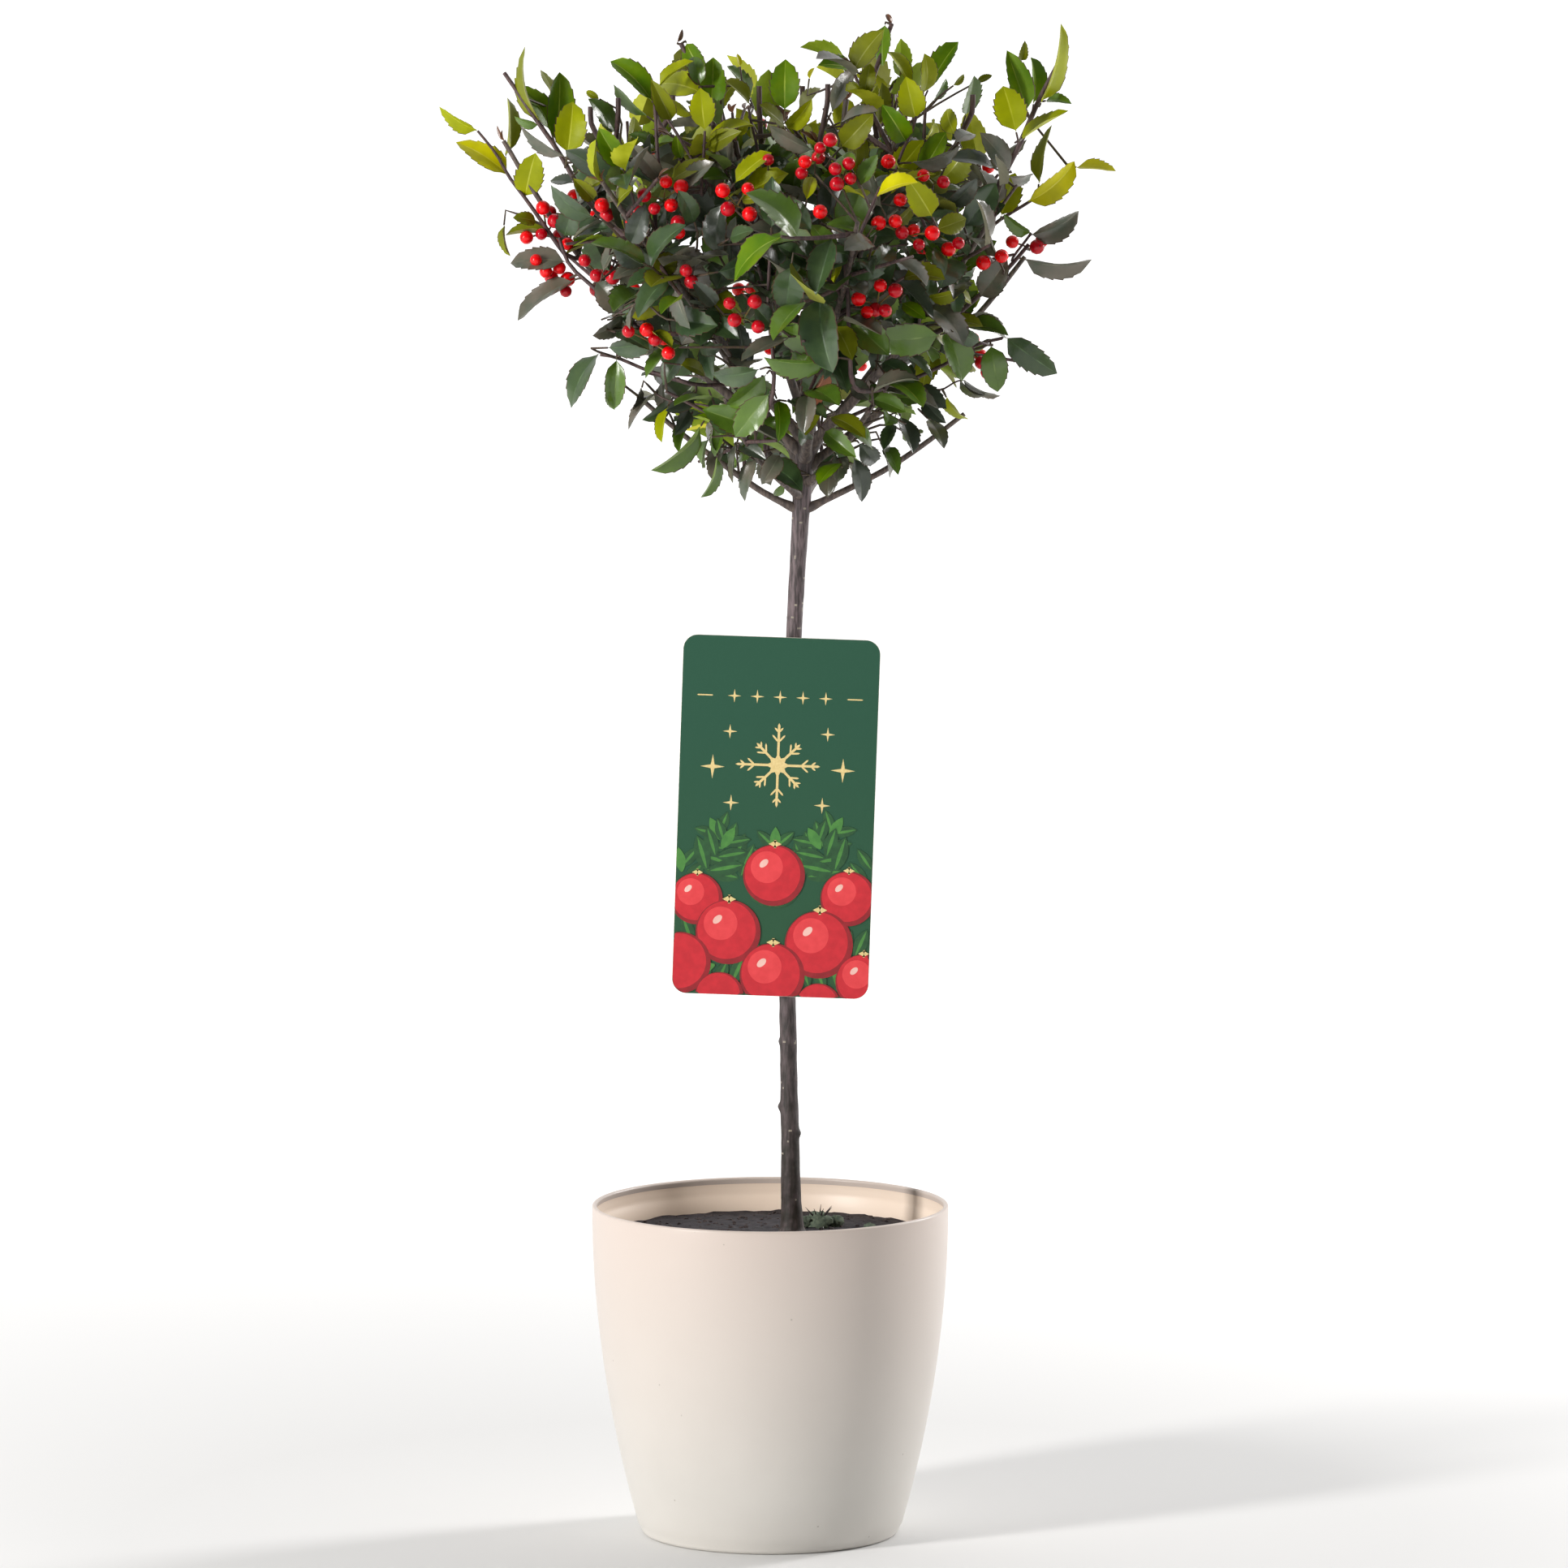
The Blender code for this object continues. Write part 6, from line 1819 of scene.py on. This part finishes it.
def build_berries(berries):
    """Ripe berries and their stalks: each berry is a ball, a little pulled in at its stalk and with a
    small dark scar at its tip, and it points away from its stalk."""
    polar = np.radians((12, 34, 60, 88, 114, 139, 160, 173))
    reach = np.array((0.95, 0.985, 1.0, 1.0, 1.0, 0.995, 0.985, 0.99))
    turn = np.arange(BERRY_SIDES) * math.tau / BERRY_SIDES
    middles = np.array([berry.middle for berry in berries])
    feet = np.array([berry.foot for berry in berries])
    chance = np.random.default_rng(5)
    size = BERRY_RADIUS * chance.uniform(0.86, 1.10, len(berries))[:, None, None]
    axis = unit(middles - feet)
    first = unit(np.cross(axis, np.array((0.30, 0.95, 0.10))))
    second = np.cross(axis, first)
    flat = np.stack([np.outer(reach * np.sin(polar), np.cos(turn)), np.outer(reach * np.sin(polar), np.sin(turn))])
    high = np.repeat((-reach * np.cos(polar))[:, None], BERRY_SIDES, axis=1)
    net = np.stack([flat[0], flat[1], high], axis=-1).reshape(-1, 3)
    net = np.concatenate([[(0, 0, -0.86)], net, [(0, 0, 0.97)]])
    points = middles[:, None] + size * (
        net[None, :, :1] * first[:, None] + net[None, :, 1:2] * second[:, None] + net[None, :, 2:] * axis[:, None]
    )
    faces = [net[:, ::-1] for net in ball_faces(len(polar), BERRY_SIDES)]
    rows = np.repeat(np.arange(len(polar) - 1), BERRY_SIDES)
    kinds = np.concatenate([rows * 0, np.zeros(BERRY_SIDES), np.full(BERRY_SIDES, 2)])
    # About two berries in five take a darker copy of the red skin: painted shade.
    painted_shade_picks = (chance.random(len(berries)) < 0.4).astype(int)[:, None]
    skin = Skin()
    skin.add(points, faces, np.where(kinds[None] == 2, 2, kinds[None] + painted_shade_picks).astype(int))
    end = middles - axis * size[:, 0] * 0.84
    bend = (feet + end) / 2 + 0.0012 * UP
    share = np.linspace(0, 1, 6)[None, :, None]
    paths = (1 - share) ** 2 * feet[:, None] + 2 * share * (1 - share) * bend[:, None] + share**2 * end[:, None]
    radii = np.broadcast_to(np.linspace(STALK_RADIUS, STALK_RADIUS * 1.3, 6), (len(berries), 6))
    points, faces = tubes(paths, radii, 5)
    skin.add(points, faces, 3)
    wax = {"Roughness": 0.30, "IOR": 1.45, "Specular IOR Level": 0.3, "Coat Weight": 0.25, "Coat Roughness": 0.05}
    looks = [
        mottled("ripe berry skin", "#e4000a", "#f0000c", 5.0, wax, 1.2, 0.00003),
        mottled("berry skin with painted shade", "#b00018", "#c80018", 5.0, wax, 1.2, 0.00003),
        mottled("berry scar", "#4a120d", "#5c1c12", 1.0, {"Roughness": 0.7}, 0.6, 0.00005),
        mottled("berry stalk", "#5d6a2a", "#74532c", 3.0, {"Roughness": 0.55}, 0.8, 0.00005),
    ]
    skin.piece("berries", looks, "foliage")


def stub_lines(lines):
    """Bare stubs with flat tops: each rises from the nearest wood below it and turns upright."""
    spots = np.array([spot[0] for line in lines for spot in line_spots(line.points, 0.003, 0.003)])
    made = []
    for place in STUBS:
        top = np.array(place)
        low = spots[spots[:, 2] < top[2] - STUB_DROP]
        foot = low[np.argmin(np.linalg.norm(low - top, axis=1))]
        bend = np.array((*(0.85 * top[:2] + 0.15 * foot[:2]), 0.4 * foot[2] + 0.6 * top[2]))
        course = rounded(np.array((foot, bend, top - 0.010 * UP, top)), 2, 10)
        made.append(Line(course, (STUB_RADIUS, STUB_RADIUS), 4, None, None))
    return made


TRUNK_ROWS = 470
TRUNK_SIDES = 36
LENTICELS = 130


def build_wood(plan, lines):
    """Trunk and boughs with their bark, and the twigs that grow on from them."""
    points, radii = trunk_points()
    course = evened(np.column_stack([points, radii]), TRUNK_ROWS)
    window = np.ones(13) / 13
    for column in range(4):
        padded = np.pad(course[:, column], 6, mode="edge")
        smooth = np.convolve(padded, window, mode="valid")
        if column != 2:
            course[8:, column] = smooth[8:]
    turn = np.arange(TRUNK_SIDES) * math.tau / TRUNK_SIDES
    around = np.broadcast_to(turn * 0.005, (TRUNK_ROWS, TRUNK_SIDES))
    up = np.broadcast_to(course[:, 2:3], (TRUNK_ROWS, TRUNK_SIDES))
    relief = 0.00016 * waves(around, up * 0.25, 21, 0.004) + 0.00022 * waves(around, up, 22, 0.020)
    chance = np.random.default_rng(23)
    slots = np.zeros((TRUNK_ROWS - 1, TRUNK_SIDES), int)
    for spot_turn, spot_up, size in zip(
        chance.uniform(0, math.tau, LENTICELS),
        chance.uniform(0.20, 0.70, LENTICELS),
        chance.uniform(0.0005, 0.0010, LENTICELS),
    ):
        away = np.angle(np.exp(1j * (turn[None] - spot_turn))) * 0.005
        off = np.hypot(away / 1.3, up - spot_up)
        relief = relief + 0.00022 * np.exp(-((off / size) ** 2))
        slots[off[:-1] < size * 0.75] = 1
    for spot_turn, spot_up, size, height in KNOTS:
        away = np.angle(np.exp(1j * (turn[None] - spot_turn))) * 0.005
        relief = relief + height * np.exp(-(np.hypot(away, up - spot_up) / size) ** 2)
    skin = Skin()
    points, faces = tubes(course[:, :3], course[:, 3], TRUNK_SIDES, relief)
    kinds = np.concatenate([slots.ravel(), np.zeros(2 * TRUNK_SIDES, int)])
    skin.add(points, faces, kinds)
    for limb in plan:
        line = rounded(np.concatenate([limb.bough, limb.stem[1:]]), 2, 60)
        share = np.linspace(0, 1, 60)
        bough_share = np.linalg.norm(limb.bough[-1] - limb.bough[0]) / (
            np.linalg.norm(limb.bough[-1] - limb.bough[0]) + np.linalg.norm(limb.stem[-1] - limb.stem[0])
        )
        radius = np.interp(share, (0, bough_share, 1), (limb.radii[0], limb.radii[-1], STEM_RADII[1]))
        run = share * np.linalg.norm(np.diff(line, axis=0), axis=1).sum()
        radius = radius * (1 + 0.35 * np.exp(-(((run - 0.006) / 0.006) ** 2)))
        grid = np.arange(12) * math.tau / 12 * radius[0]
        relief = 0.00012 * waves(np.broadcast_to(grid, (60, 12)), run[:, None] + np.zeros(12), 31, 0.010)
        points, faces = tubes(line, radius, 12, relief)
        skin.add(points, faces, 2)
    barks = [
        bark_material("trunk bark", "#3a3232", "#716264", "#231f16"),
        mottled("bark pores", "#8f877b", "#a39a8a", 3.0, {"Roughness": 0.75}, 0.8, 0.0001),
        bark_material("bough bark", "#463d3a", "#6e6058", None),
    ]
    nodes = ["trunk"] + [f"{limb.name}_bough" for limb in plan]
    skin.piece("bark", barks, "bark", nodes)
    twigs = Skin()
    lines = lines + stub_lines(lines)
    for order, rows, sides in ((1, 8, 7), (2, 5, 5), (3, 16, 9), (4, 10, 10)):
        mine = [line for line in lines if line.order == order]
        paths = [evened(line.points, rows) for line in mine]
        radii = np.array([np.linspace(*line.radii, rows) for line in mine])
        points, faces = tubes(paths, radii, sides)
        twigs.add(points, faces, int(order == 2))
    shoots = [
        bark_material("twig bark", "#3b2a2c", "#5a4440", None),
        bark_material("young shoot skin", "#4b4026", "#3f2b2e", None),
    ]
    twigs.piece("twigs", shoots, "bark")


# Knots on the trunk: turn, height, size and how far they stand out
KNOTS = (
    (-0.3, 0.306, 0.0022, 0.0016),
    (0.1, 0.2655, 0.0026, 0.0018),
    (2.7, 0.360, 0.0020, 0.0010),
    (3.3, 0.249, 0.0024, 0.0012),
    (-1.4, 0.590, 0.0022, 0.0011),
)


def build_stage():
    """A pale floor that glows with painted light, not at all near the plant and more further off, a soft pale room
    that is brighter behind the plant, and two lamps.
    """
    mesh = bpy.data.meshes.new("floor")
    size = 40.0
    mesh.from_pydata([(-size, -size, 0), (size, -size, 0), (size, size, 0), (-size, size, 0)], [], [(0, 1, 2, 3)])
    floor = bpy.data.objects.new("floor", mesh)
    bpy.context.scene.collection.objects.link(floor)
    material, tree, shader, place = start_material("pale studio floor", {"Roughness": 0.9})
    shader.inputs["Base Color"].default_value = tint("#e6e6e5")
    # Painted light: the floor glows, not at all within 0.4 m of the middle and more strongly out to 2.4 m.
    shader.inputs["Emission Color"].default_value = (1, 1, 1, 1)
    away = add(tree, "ShaderNodeVectorMath", {"operation": "LENGTH"}, {0: place})
    glow = add(
        tree,
        "ShaderNodeMapRange",
        {"From Min": 0.4, "From Max": 2.4, "To Max": 0.72},
        {"Value": away.outputs["Value"]},
    )
    tree.links.new(glow.outputs["Result"], shader.inputs["Emission Strength"])
    mesh.materials.append(material)
    world = bpy.data.worlds.new("studio")
    bpy.context.scene.world = world
    world.use_nodes = True
    tree = world.node_tree
    way = add(tree, "ShaderNodeTexCoord").outputs["Generated"]
    toward = add(
        tree,
        "ShaderNodeVectorMath",
        {"operation": "DOT_PRODUCT", 1: (0.0, 0.9, 0.45)},
        {0: way},
    )
    back = add(
        tree,
        "ShaderNodeMapRange",
        {"From Min": -0.15, "From Max": 0.9, "To Min": 0.10, "To Max": 1.0},
        {"Value": toward.outputs["Value"]},
    )
    room = tree.nodes["Background"]
    room.inputs["Color"].default_value = (1, 1, 1, 1)
    tree.links.new(back.outputs["Result"], room.inputs["Strength"])
    lamps = (
        ("key", 217, 16, 3.0, (0.35, 1.4), 75.0, (1.0, 0.98, 0.965)),
        ("rim", 32, 20, 3.0, (0.5, 1.4), 62.0, (1.0, 0.98, 0.98)),
    )
    for name, azimuth, elevation, away, size, power, colour in lamps:
        lamp = bpy.data.lights.new(name, "AREA")
        lamp.shape = "RECTANGLE"
        lamp.size, lamp.size_y = size
        lamp.energy = power
        lamp.color = colour
        thing = bpy.data.objects.new(name, lamp)
        thing.location = heading(azimuth, elevation) * away + np.array((0, 0, 0.5))
        thing.rotation_euler = (math.radians(90 - elevation), 0, math.radians(azimuth + 90))
        bpy.context.scene.collection.objects.link(thing)


def build_camera():
    """The photograph's camera: level height and tilt from the pot's rim and foot."""
    lens = bpy.data.cameras.new("camera")
    lens.lens = 225.7
    lens.sensor_width = 36.0
    lens.clip_end = 200.0
    camera = bpy.data.objects.new("camera", lens)
    camera.location = EYE
    camera.rotation_euler = (math.radians(90 - 6.534), 0, 0)
    bpy.context.scene.collection.objects.link(camera)
    bpy.context.scene.camera = camera


def build_all():
    """Every piece, then the stage."""
    build_pot()
    build_soil()
    build_card()
    build_print()
    build_band()
    build_foliage()
    build_stage()
    build_camera()
    scene = bpy.context.scene
    scene.view_settings.view_transform = "Standard"


build_all()
